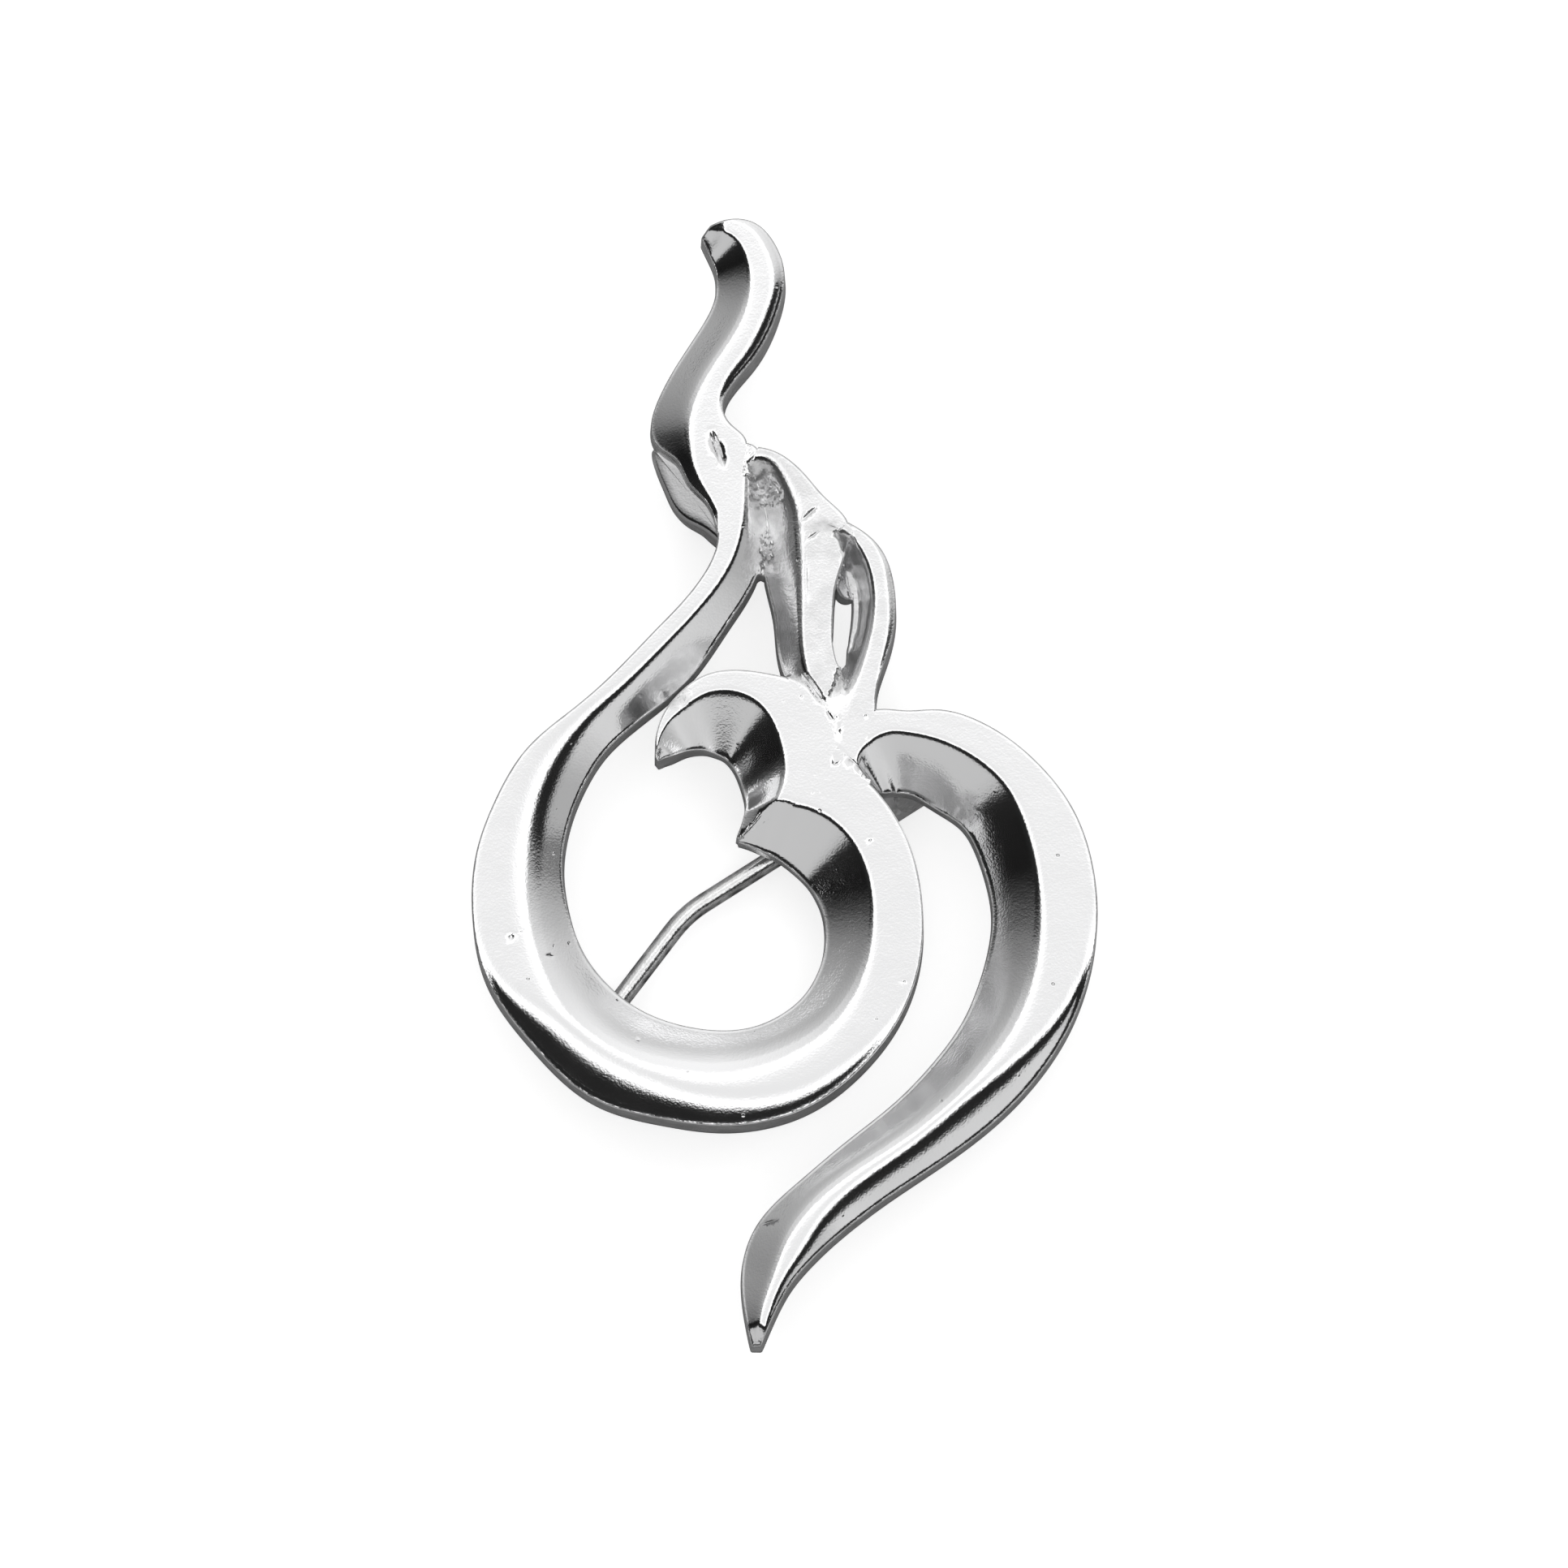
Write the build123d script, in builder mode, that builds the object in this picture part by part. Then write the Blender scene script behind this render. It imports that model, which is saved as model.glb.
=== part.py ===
"""Cast silver scroll brooch, lying on its back: the casting, its hinge rivet and the bent pin stem.

X runs across the brooch, Y along it, Z out of its front. The back rests on Z = 0.
"""

from build123d import *
from math import cos, radians, sin, tan
import os

os.makedirs("parts", exist_ok=True)

# Driving sizes, in millimetres and degrees.
brooch_width = 32.0
brooch_height = 58.4
band_width = 5.2
casting_thickness = 3.3
back_height = 3.4
wire_diameter = 1.0
bend_radius = 6.0
point_length = 2.4
point_diameter = 0.14
hinge_lean = 35.0
rivet_diameter = 0.9
rivet_head_diameter = 1.5
rivet_head_thickness = 0.3
eye_diameter = 2.7
eye_thickness = 1.15
ear_diameter = 2.5
ear_thickness = 0.7
catch_length = 1.1
catch_wall = 0.9
catch_corner = 0.6
catch_lip = 0.3
catch_from_point = 1.6
groove_depth = 0.35
slot_valley_depth = 1.9
leaf_foot_share = 0.55

# Running clearances, in millimetres.
eye_bore_clearance = 0.05
ear_bore_clearance = 0.02
ear_gap = 0.06
head_gap = 0.02
catch_clearance = 0.1

# How far a cutter runs past what it cuts, and how far pieces of the casting run into each other.
overrun = 0.3
headroom = 1.0
weld_depth = 0.3
crest_lead = 0.06

# Shapes of the cuts. Scoop middle is how far along the reach an arc's middle point lies, and the hollows
# are the share of the fall that is reached there. A shoulder is a rounded edge in the same way.
scoop_middle = 0.42
scoop_hollow = 0.78
facet_hollow = 0.6
shoulder_lead = 1.1
shoulder_middle = 0.45
shoulder_hollow = 0.3
shoulder_slope = 0.8

front_height = back_height + casting_thickness

# Each row is one station of a strand. Across and up place its crest, as shares of the brooch's width
# and height. Facing is the direction of the inner edge, in degrees. Inner and outer are the widths on
# the two sides of the crest and rim is the rounded outer shoulder, as shares of the band's width. Drop
# is the fall from the crest to the inner edge, as a share of the casting's thickness.
# across, up, facing, inner, outer, drop, rim
loop_rows = [
    (-0.057, 0.269, -14, 0.07, 0.27, 0.20, 0.05),
    (-0.061, 0.232, -7, 0.21, 0.28, 0.45, 0.05),
    (-0.078, 0.196, -27, 0.27, 0.21, 0.50, 0.05),
    (-0.123, 0.157, -37, 0.30, 0.18, 0.50, 0.05),
    (-0.186, 0.119, -46, 0.38, 0.18, 0.50, 0.05),
    (-0.253, 0.082, -48, 0.35, 0.17, 0.50, 0.05),
    (-0.316, 0.049, -43, 0.33, 0.19, 0.50, 0.05),
    (-0.361, 0.012, -27, 0.33, 0.34, 0.48, 0.05),
    (-0.387, -0.029, -12, 0.31, 0.46, 0.46, 0.06),
    (-0.396, -0.072, -3, 0.29, 0.58, 0.44, 0.07),
    (-0.395, -0.112, 7, 0.33, 0.62, 0.44, 0.08),
    (-0.375, -0.160, 21, 0.38, 0.62, 0.46, 0.12),
    (-0.334, -0.201, 40, 0.44, 0.54, 0.48, 0.20),
    (-0.260, -0.234, 63, 0.45, 0.58, 0.48, 0.26),
    (-0.175, -0.248, 81, 0.41, 0.58, 0.46, 0.26),
    (-0.095, -0.251, 94, 0.38, 0.61, 0.46, 0.24),
    (-0.019, -0.242, 110, 0.35, 0.63, 0.46, 0.20),
    (0.052, -0.222, 126, 0.37, 0.58, 0.46, 0.14),
    (0.104, -0.191, 148, 0.40, 0.55, 0.48, 0.10),
    (0.132, -0.154, 165, 0.43, 0.54, 0.50, 0.08),
    (0.140, -0.115, 182, 0.48, 0.51, 0.52, 0.06),
    (0.131, -0.081, 205, 0.54, 0.50, 0.55, 0.05),
    (0.105, -0.052, 226, 0.59, 0.51, 0.58, 0.05),
    (0.064, -0.032, 240, 0.59, 0.45, 0.58, 0.05),
    (0.022, -0.024, 247, 0.52, 0.42, 0.52, 0.05),
    (-0.013, -0.027, 248, 0.40, 0.24, 0.42, 0.05),
    (-0.045, -0.040, 245, 0.19, 0.08, 0.25, 0.03),
    (-0.070, -0.050, 233, 0.04, 0.02, 0.10, 0.01),
]
hook_rows = [
    (0.121, 0.020, -68, 0.33, 0.40, 0.30, 0.05),
    (0.149, 0.037, -81, 0.49, 0.32, 0.46, 0.05),
    (0.188, 0.041, -88, 0.55, 0.22, 0.50, 0.05),
    (0.240, 0.035, -100, 0.58, 0.30, 0.52, 0.05),
    (0.299, 0.020, -120, 0.59, 0.35, 0.55, 0.05),
    (0.351, -0.005, -139, 0.56, 0.39, 0.55, 0.05),
    (0.383, -0.040, -158, 0.52, 0.50, 0.52, 0.05),
    (0.401, -0.079, -171, 0.49, 0.56, 0.48, 0.06),
    (0.406, -0.118, -180, 0.46, 0.58, 0.46, 0.08),
    (0.399, -0.157, -189, 0.47, 0.57, 0.46, 0.10),
    (0.377, -0.197, -203, 0.47, 0.54, 0.46, 0.14),
    (0.338, -0.234, -215, 0.43, 0.51, 0.46, 0.18),
    (0.279, -0.272, -224, 0.39, 0.47, 0.44, 0.20),
    (0.201, -0.309, -234, 0.34, 0.42, 0.42, 0.22),
    (0.123, -0.338, -236, 0.29, 0.42, 0.40, 0.24),
    (0.052, -0.368, -230, 0.26, 0.42, 0.38, 0.26),
    (0.006, -0.401, -212, 0.33, 0.35, 0.40, 0.22),
    (-0.019, -0.436, -199, 0.31, 0.22, 0.40, 0.14),
    (-0.035, -0.464, -188, 0.18, 0.16, 0.30, 0.10),
    (-0.042, -0.497, -180, 0.06, 0.05, 0.12, 0.03),
]
claw_rows = [
    (-0.203, 0.017, -75, 0.02, 0.01, 0.04, 0.01),
    (-0.196, 0.035, -70, 0.19, 0.06, 0.20, 0.02),
    (-0.181, 0.050, -64, 0.29, 0.11, 0.30, 0.03),
    (-0.155, 0.063, -81, 0.41, 0.16, 0.42, 0.05),
    (-0.121, 0.075, -91, 0.52, 0.19, 0.50, 0.05),
    (-0.083, 0.077, -99, 0.61, 0.22, 0.56, 0.05),
    (-0.045, 0.069, -108, 0.66, 0.30, 0.58, 0.05),
    (-0.018, 0.051, -120, 0.62, 0.48, 0.56, 0.05),
    (-0.003, 0.028, -131, 0.56, 0.60, 0.54, 0.05),
    (0.001, 0.005, -142, 0.48, 0.60, 0.50, 0.05),
    (-0.010, -0.018, -151, 0.39, 0.48, 0.44, 0.05),
    (-0.038, -0.037, -153, 0.23, 0.16, 0.30, 0.03),
    (-0.069, -0.049, -149, 0.05, 0.02, 0.10, 0.01),
]
neck_rows = [
    (-0.129, 0.489, -135, 0.05, 0.04, 0.10, 0.01),
    (-0.100, 0.488, -132, 0.22, 0.16, 0.30, 0.03),
    (-0.077, 0.481, -141, 0.31, 0.26, 0.42, 0.06),
    (-0.061, 0.464, -157, 0.33, 0.33, 0.48, 0.08),
    (-0.056, 0.446, -173, 0.33, 0.37, 0.50, 0.10),
    (-0.062, 0.421, -193, 0.32, 0.35, 0.50, 0.10),
    (-0.084, 0.394, -207, 0.32, 0.34, 0.50, 0.10),
    (-0.117, 0.366, -203, 0.32, 0.31, 0.50, 0.10),
    (-0.145, 0.337, -192, 0.34, 0.32, 0.50, 0.08),
    (-0.155, 0.312, -180, 0.36, 0.46, 0.52, 0.06),
    (-0.149, 0.287, -172, 0.36, 0.64, 0.62, 0.05),
    (-0.136, 0.266, -170, 0.33, 0.64, 0.72, 0.05),
    (-0.117, 0.248, -165, 0.35, 0.52, 0.76, 0.05),
    (-0.103, 0.230, -166, 0.26, 0.40, 0.70, 0.05),
    (-0.100, 0.212, -180, 0.11, 0.16, 0.50, 0.05),
]
stem_rows = [
    (-0.049, 0.288, -119, 0.08, 0.08, 0.16, 0.03),
    (-0.025, 0.283, -135, 0.16, 0.11, 0.34, 0.05),
    (-0.003, 0.266, -154, 0.22, 0.21, 0.48, 0.05),
    (0.016, 0.240, -165, 0.31, 0.34, 0.52, 0.05),
    (0.023, 0.212, -167, 0.35, 0.53, 0.54, 0.05),
    (0.025, 0.180, -180, 0.34, 0.40, 0.54, 0.05),
    (0.026, 0.146, -178, 0.26, 0.34, 0.54, 0.05),
    (0.029, 0.114, -174, 0.24, 0.33, 0.52, 0.05),
    (0.039, 0.093, -163, 0.23, 0.34, 0.40, 0.05),
    (0.058, 0.069, -156, 0.19, 0.29, 0.14, 0.05),
]
side_rows = [
    (0.092, 0.224, -141, 0.10, 0.07, 0.10, 0.03),
    (0.110, 0.212, -150, 0.13, 0.14, 0.10, 0.05),
    (0.129, 0.195, -158, 0.17, 0.20, 0.10, 0.05),
    (0.140, 0.172, -170, 0.18, 0.23, 0.10, 0.05),
    (0.140, 0.142, -185, 0.17, 0.25, 0.10, 0.05),
    (0.129, 0.112, -192, 0.16, 0.24, 0.10, 0.05),
    (0.116, 0.083, -192, 0.22, 0.22, 0.10, 0.05),
    (0.105, 0.059, -188, 0.26, 0.29, 0.10, 0.05),
]

# Grooves follow a middle line. Half width is a share of the band's width.
# across, up, half width
slot_valley_rows = [
    (0.109, 0.211, 0.03),
    (0.110, 0.191, 0.11),
    (0.110, 0.167, 0.18),
    (0.108, 0.142, 0.19),
    (0.103, 0.114, 0.15),
    (0.100, 0.092, 0.08),
    (0.097, 0.078, 0.03),
]
slit_rows = [
    (-0.117, 0.311, 0.01),
    (-0.112, 0.299, 0.04),
    (-0.103, 0.285, 0.04),
    (-0.096, 0.273, 0.01),
]

# Closed outlines and single places, as shares of the brooch's width and height.
# across, up
slot_outline = [
    (0.097, 0.162),
    (0.108, 0.148),
    (0.103, 0.121),
    (0.097, 0.102),
    (0.091, 0.099),
    (0.081, 0.110),
    (0.079, 0.128),
    (0.086, 0.152),
]
leaf_outline = [
    (-0.209, 0.299),
    (-0.181, 0.294),
    (-0.149, 0.282),
    (-0.117, 0.260),
    (-0.088, 0.232),
    (-0.094, 0.209),
    (-0.123, 0.221),
    (-0.152, 0.231),
    (-0.173, 0.242),
    (-0.191, 0.262),
    (-0.206, 0.283),
]
knot_place = (0.061, 0.025)
hinge_place = (0.181, 0.010)
bend_place = (-0.156, -0.108)
point_place = (-0.323, -0.229)
knot_radius_share = 0.5

# The stretches of each strand that have a rounded shoulder or a facet of their own, clear of the knot.
loop_shoulder_rows = loop_rows[4:22]
hook_shoulder_rows = hook_rows[2:]
neck_shoulder_rows = neck_rows[1:-5]
stem_facet_rows = stem_rows[1:-2]


def place(across, up, height=0.0):
    """A point of the brooch from its shares of the width and height."""
    return Vector(across * brooch_width, up * brooch_height, height)


def toward(facing):
    """The level direction that faces this way, in degrees from +X."""
    return Vector(cos(radians(facing)), sin(radians(facing)))


def strand_outline(rows):
    """The two edges of a strand, joined by a short line at each end."""
    inner_edge = [place(a, u) + toward(f) * (i * band_width) for a, u, f, i, o, d, r in rows]
    outer_edge = [place(a, u) - toward(f) * (o * band_width) for a, u, f, i, o, d, r in rows]
    with BuildSketch() as outline:
        with BuildLine():
            inside = Spline(*inner_edge)
            outside = Spline(*outer_edge)
            Line(inside @ 0, outside @ 0)
            Line(inside @ 1, outside @ 1)
        make_face()
    return outline.sketch


def cutter(stations):
    """A cutter lofted along stations of (plane, start, start height, middle, middle height, end, end height).

    Each section is an arc through the three points, closed above the front of the casting.
    """
    with BuildPart() as blade:
        for plane, start, rise, middle, dip, end, fall in stations:
            with BuildSketch(plane):
                with BuildLine():
                    ThreePointArc((start, rise), (middle, -dip), (end, -fall))
                    Polyline(
                        (end, -fall),
                        (end + overrun, -fall),
                        (end + overrun, headroom),
                        (start, headroom),
                        (start, rise),
                    )
                make_face()
        loft()
    return blade.part


def scoop(rows, hollow):
    """The concave face between a strand's crest and its inner edge."""
    stations = []
    for across, up, facing, inner, outer, drop, rim in rows:
        side = toward(facing)
        plane = Plane(place(across, up, front_height), x_dir=side, z_dir=side.cross(Vector(0, 0, 1)))
        reach = inner * band_width
        fall = drop * casting_thickness
        middle = reach * scoop_middle
        stations.append((plane, -crest_lead, crest_lead * 2, middle, fall * hollow, reach, fall))
    return cutter(stations)


def shoulder(rows):
    """The rounded shoulder that takes the front of a strand down to its outer wall."""
    stations = []
    for across, up, facing, inner, outer, drop, rim in rows:
        side = toward(facing) * -1
        plane = Plane(place(across, up, front_height), x_dir=side, z_dir=side.cross(Vector(0, 0, 1)))
        edge = outer * band_width
        width = rim * band_width
        fall = width * shoulder_slope
        start = edge - width * shoulder_lead
        middle = edge - width * shoulder_middle
        stations.append((plane, start, crest_lead / 2, middle, fall * shoulder_hollow, edge, fall))
    return cutter(stations)


def groove(rows, depth):
    """A round-bottomed groove along a middle line, as deep as the given depth at its widest."""
    places = [place(across, up, front_height) for across, up, half in rows]
    widest = max(half for across, up, half in rows)
    with BuildPart() as blade:
        for number, (across, up, half) in enumerate(rows):
            before = places[max(number - 1, 0)]
            after = places[min(number + 1, len(rows) - 1)]
            run = (after - before).normalized()
            plane = Plane(places[number], x_dir=run.cross(Vector(0, 0, 1)), z_dir=run)
            reach = half * band_width
            with BuildSketch(plane):
                with BuildLine():
                    ThreePointArc((-reach, -headroom), (0, depth * half / widest), (reach, -headroom))
                    Line((-reach, -headroom), (reach, -headroom))
                make_face()
        loft()
    return blade.part


# The plate of the casting: every strand's outline, fused where they cross at the knot.
with BuildPart() as plate:
    with BuildSketch(Plane.XY.offset(back_height)):
        for rows in (loop_rows, hook_rows, claw_rows, neck_rows, stem_rows, side_rows):
            add(strand_outline(rows))
        with Locations(place(*knot_place)):
            Circle(knot_radius_share * band_width)
        with BuildLine():
            Spline(*[place(across, up) for across, up in slot_outline], periodic=True)
        make_face(mode=Mode.SUBTRACT)
    extrude(amount=casting_thickness)

# Where the hinge, the bend and the point of the pin stem lie, level with the middle of the wire.
lean = radians(hinge_lean)
ear_offset = (eye_thickness + ear_thickness) / 2 + ear_gap
wire_height = ear_offset * sin(lean) + ear_diameter / 2 * cos(lean) + ear_thickness / 2 * sin(lean)
hinge_centre = place(*hinge_place, wire_height)
bend_centre = place(*bend_place, wire_height)
point_end = place(*point_place, wire_height)
shank_run = (bend_centre - hinge_centre).normalized()
point_run = (point_end - bend_centre).normalized()

# The rivet's axis crosses the shank and leans, so the point swings down and sideways out of its catch.
rivet_axis = Vector(-shank_run.Y * cos(lean), shank_run.X * cos(lean), sin(lean))
hinge_plane = Plane(hinge_centre, x_dir=shank_run, z_dir=rivet_axis)

# The leaf: the end of the neck, which curls back behind the band and rests on the surface.
leaf_edge = [place(across, up) for across, up in leaf_outline]
leaf_middle = sum(leaf_edge, Vector(0, 0, 0)) / len(leaf_edge)
with BuildPart() as leaf:
    for height, share in ((0, leaf_foot_share), (back_height + weld_depth, 1)):
        with BuildSketch(Plane.XY.offset(height)):
            with BuildLine():
                Spline(*[leaf_middle + (corner - leaf_middle) * share for corner in leaf_edge], periodic=True)
            make_face()
    loft()

# The hinge ears: two upright plates that lean with the rivet and run up into the back of the casting.
ear_bore = rivet_diameter / 2 + ear_bore_clearance
with BuildPart() as ears:
    for side in (-1, 1):
        ear_middle = hinge_centre + rivet_axis * (side * ear_offset)
        ear_plane = Plane(ear_middle, x_dir=shank_run, z_dir=rivet_axis)
        rise = (back_height + weld_depth - ear_middle.Z) / cos(lean)
        with BuildSketch(ear_plane):
            Circle(ear_diameter / 2)
            with Locations((0, -rise / 2)):
                Rectangle(ear_diameter, rise)
            Circle(ear_bore, mode=Mode.SUBTRACT)
        extrude(amount=ear_thickness / 2, both=True)

# The catch: a hook with its mouth to one side. Its lip slopes along the way the point swings out.
catch_centre = point_end - point_run * catch_from_point
mouth_side = Vector(-point_run.Y, point_run.X)
catch_plane = Plane(catch_centre, x_dir=mouth_side, z_dir=mouth_side.cross(Vector(0, 0, 1)))
point_flare = (wire_diameter - point_diameter) / 2 / point_length
catch_radius = point_diameter / 2 + point_flare * (catch_from_point + catch_length / 2) + catch_clearance
catch_top = back_height + weld_depth - wire_height
catch_width = catch_radius + catch_wall + catch_lip
ramp_top = (-catch_radius * cos(lean), -catch_radius * sin(lean))
ramp_drop = wire_height + overrun
with BuildPart() as catch:
    with BuildSketch(catch_plane) as hook:
        with Locations((catch_lip - catch_width / 2, (catch_top - wire_height) / 2)):
            Rectangle(catch_width, catch_top + wire_height)
        fillet(hook.vertices().group_by(Axis.X)[0].sort_by(Axis.Y)[0], radius=catch_corner)
        Circle(catch_radius, mode=Mode.SUBTRACT)
        with BuildLine():
            Polyline(
                ramp_top,
                (ramp_top[0] + ramp_drop * tan(lean), ramp_top[1] - ramp_drop),
                (catch_width, ramp_top[1] - ramp_drop),
                (catch_width, catch_top + overrun),
                (-catch_radius, catch_top + overrun),
                (-catch_radius, 0),
                close=True,
            )
        make_face(mode=Mode.SUBTRACT)
    extrude(amount=catch_length / 2, both=True)

# The casting, in one piece with its soldered hinge ears and catch.
with BuildPart() as scroll_body:
    add(plate.part)
    add(leaf.part)
    add(ears.part)
    add(catch.part)
    for rows in (loop_rows, hook_rows, claw_rows):
        add(scoop(rows, scoop_hollow), mode=Mode.SUBTRACT)
    for rows in (neck_rows, stem_facet_rows):
        add(scoop(rows, facet_hollow), mode=Mode.SUBTRACT)
    for rows in (loop_shoulder_rows, hook_shoulder_rows, neck_shoulder_rows):
        add(shoulder(rows), mode=Mode.SUBTRACT)
    add(groove(slot_valley_rows, slot_valley_depth), mode=Mode.SUBTRACT)
    add(groove(slit_rows, groove_depth), mode=Mode.SUBTRACT)
scroll_body.part.label = "scroll_body"
export_step(scroll_body.part, "parts/scroll_body.step")

# The rivet: a plain shaft through both ears and the eye, with a flat head at each end.
with BuildPart() as hinge_rivet:
    with BuildSketch(hinge_plane):
        Circle(rivet_diameter / 2)
    grip = ear_offset + ear_thickness / 2 + head_gap
    extrude(amount=grip + rivet_head_thickness / 2, both=True)
    for side in (-1, 1):
        with BuildSketch(hinge_plane.offset(side * grip)):
            Circle(rivet_head_diameter / 2)
        extrude(amount=side * rivet_head_thickness)
hinge_rivet.part.label = "hinge_rivet"
export_step(hinge_rivet.part, "parts/hinge_rivet.step")

# The pin stem: hard wire with an eye at the hinge, one bend and a long point.
with BuildLine() as stem_route:
    FilletPolyline(
        hinge_centre + shank_run * (eye_diameter / 2 - overrun),
        bend_centre,
        point_end - point_run * point_length,
        radius=bend_radius,
    )
with BuildPart() as pin_stem:
    for stretch in stem_route.edges().sort_by(stem_route.wire()):
        with BuildSketch(Plane(stretch @ 0, z_dir=stretch % 0)):
            Circle(wire_diameter / 2)
        sweep(path=stretch)
    with BuildSketch(Plane(point_end - point_run * point_length, z_dir=point_run)):
        Circle(wire_diameter / 2)
    with BuildSketch(Plane(point_end, z_dir=point_run)):
        Circle(point_diameter / 2)
    loft()
    with BuildSketch(hinge_plane):
        Circle(eye_diameter / 2)
    extrude(amount=eye_thickness / 2, both=True)
    with BuildSketch(hinge_plane):
        Circle(rivet_diameter / 2 + eye_bore_clearance)
    extrude(amount=eye_diameter, both=True, mode=Mode.SUBTRACT)
pin_stem.part.label = "pin_stem"
export_step(pin_stem.part, "parts/pin_stem.step")
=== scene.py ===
from math import cos, pi, radians, sin, tan

import bpy
import numpy as np
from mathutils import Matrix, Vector
from mathutils.geometry import delaunay_2d_cdt


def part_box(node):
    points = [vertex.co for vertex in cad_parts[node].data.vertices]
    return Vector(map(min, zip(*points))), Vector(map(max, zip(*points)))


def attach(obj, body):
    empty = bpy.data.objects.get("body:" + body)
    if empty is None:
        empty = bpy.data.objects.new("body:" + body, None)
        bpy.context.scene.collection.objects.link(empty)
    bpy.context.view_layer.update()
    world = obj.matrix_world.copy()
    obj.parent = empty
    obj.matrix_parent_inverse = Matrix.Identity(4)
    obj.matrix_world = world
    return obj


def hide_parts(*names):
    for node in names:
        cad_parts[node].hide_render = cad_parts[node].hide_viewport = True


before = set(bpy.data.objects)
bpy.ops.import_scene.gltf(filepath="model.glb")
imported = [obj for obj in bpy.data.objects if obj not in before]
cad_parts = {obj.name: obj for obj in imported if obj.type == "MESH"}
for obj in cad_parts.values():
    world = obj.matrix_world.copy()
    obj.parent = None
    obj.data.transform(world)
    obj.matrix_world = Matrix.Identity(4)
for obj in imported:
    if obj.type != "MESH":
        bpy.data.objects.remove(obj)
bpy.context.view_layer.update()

# The casting is one piece of cast silver. Each strand of the scroll has a flat polished band outside its
# crest and a hollow scoop inside it, and the strands run together at the knot. Sizes are in millimetres.
mm = 0.001
brooch_width = 32.0
brooch_height = 58.4
brooch_size = np.array((brooch_width, brooch_height))
band_width = 5.2
casting_thickness = 3.3
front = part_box("scroll_body")[1].z / mm
back = front - casting_thickness
edge_round = 0.11
wall_draft = 0.05
tip_share = 0.9
station_step = 0.17
bevel_slope = tan(radians(40))
bevel_hollow = 1.06
deepest_cut = 0.8 * casting_thickness
inset = edge_round + wall_draft
slot_inset = 0.12
least_reach = 0.01
least_soft = 0.001
knot_place = (0.061, 0.025)
knot_radius = 0.5 * band_width

# Across and up place a strand's crest, as shares of the brooch's width and height. Facing is the direction
# of its inner edge in degrees. Inner and outer are the widths on the two sides of the crest, rim is the
# rounded outer shoulder and soft is how far the crest is rounded, as shares of the band's width. Cut is
# the steepness of the scoop, as a share of the usual bevel.
# across, up, facing, inner, outer, cut, rim, soft
loop_rows = [
    (-0.057, 0.269, -14, 0.07, 0.27, 2.50, 0.02, 0.05),
    (-0.061, 0.232, -7, 0.21, 0.28, 1.30, 0.02, 0.06),
    (-0.078, 0.196, -27, 0.27, 0.21, 1.00, 0.02, 0.07),
    (-0.123, 0.157, -37, 0.30, 0.18, 1.00, 0.02, 0.07),
    (-0.186, 0.119, -46, 0.38, 0.18, 1.00, 0.02, 0.07),
    (-0.253, 0.082, -48, 0.35, 0.17, 1.00, 0.02, 0.10),
    (-0.316, 0.049, -43, 0.33, 0.19, 1.00, 0.02, 0.16),
    (-0.361, 0.012, -27, 0.33, 0.34, 1.00, 0.02, 0.28),
    (-0.387, -0.029, -12, 0.31, 0.46, 1.00, 0.03, 0.32),
    (-0.396, -0.072, -3, 0.29, 0.58, 1.00, 0.04, 0.34),
    (-0.395, -0.112, 7, 0.33, 0.62, 1.00, 0.05, 0.30),
    (-0.375, -0.16, 21, 0.38, 0.62, 1.00, 0.16, 0.26),
    (-0.334, -0.201, 40, 0.44, 0.54, 1.00, 0.44, 0.28),
    (-0.26, -0.234, 63, 0.45, 0.58, 1.00, 0.58, 0.28),
    (-0.175, -0.248, 81, 0.41, 0.58, 1.00, 0.44, 0.28),
    (-0.095, -0.251, 94, 0.38, 0.61, 1.00, 0.36, 0.28),
    (-0.019, -0.242, 110, 0.35, 0.63, 1.00, 0.28, 0.26),
    (0.052, -0.222, 126, 0.37, 0.58, 1.00, 0.20, 0.22),
    (0.104, -0.191, 148, 0.40, 0.55, 1.00, 0.09, 0.17),
    (0.132, -0.154, 165, 0.43, 0.54, 1.00, 0.03, 0.12),
    (0.14, -0.115, 182, 0.48, 0.51, 1.00, 0.03, 0.08),
    (0.131, -0.081, 205, 0.54, 0.50, 1.00, 0.02, 0.06),
    (0.105, -0.052, 226, 0.59, 0.51, 1.00, 0.00, 0.05),
    (0.064, -0.032, 240, 0.59, 0.52, 1.00, 0.00, 0.05),
    (0.022, -0.024, 247, 0.52, 0.42, 1.00, 0.00, 0.05),
    (-0.013, -0.027, 248, 0.40, 0.24, 1.00, 0.00, 0.04),
    (-0.045, -0.04, 245, 0.19, 0.08, 1.00, 0.00, 0.03),
    (-0.07, -0.05, 233, 0.04, 0.02, 1.00, 0.00, 0.02),
]
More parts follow.
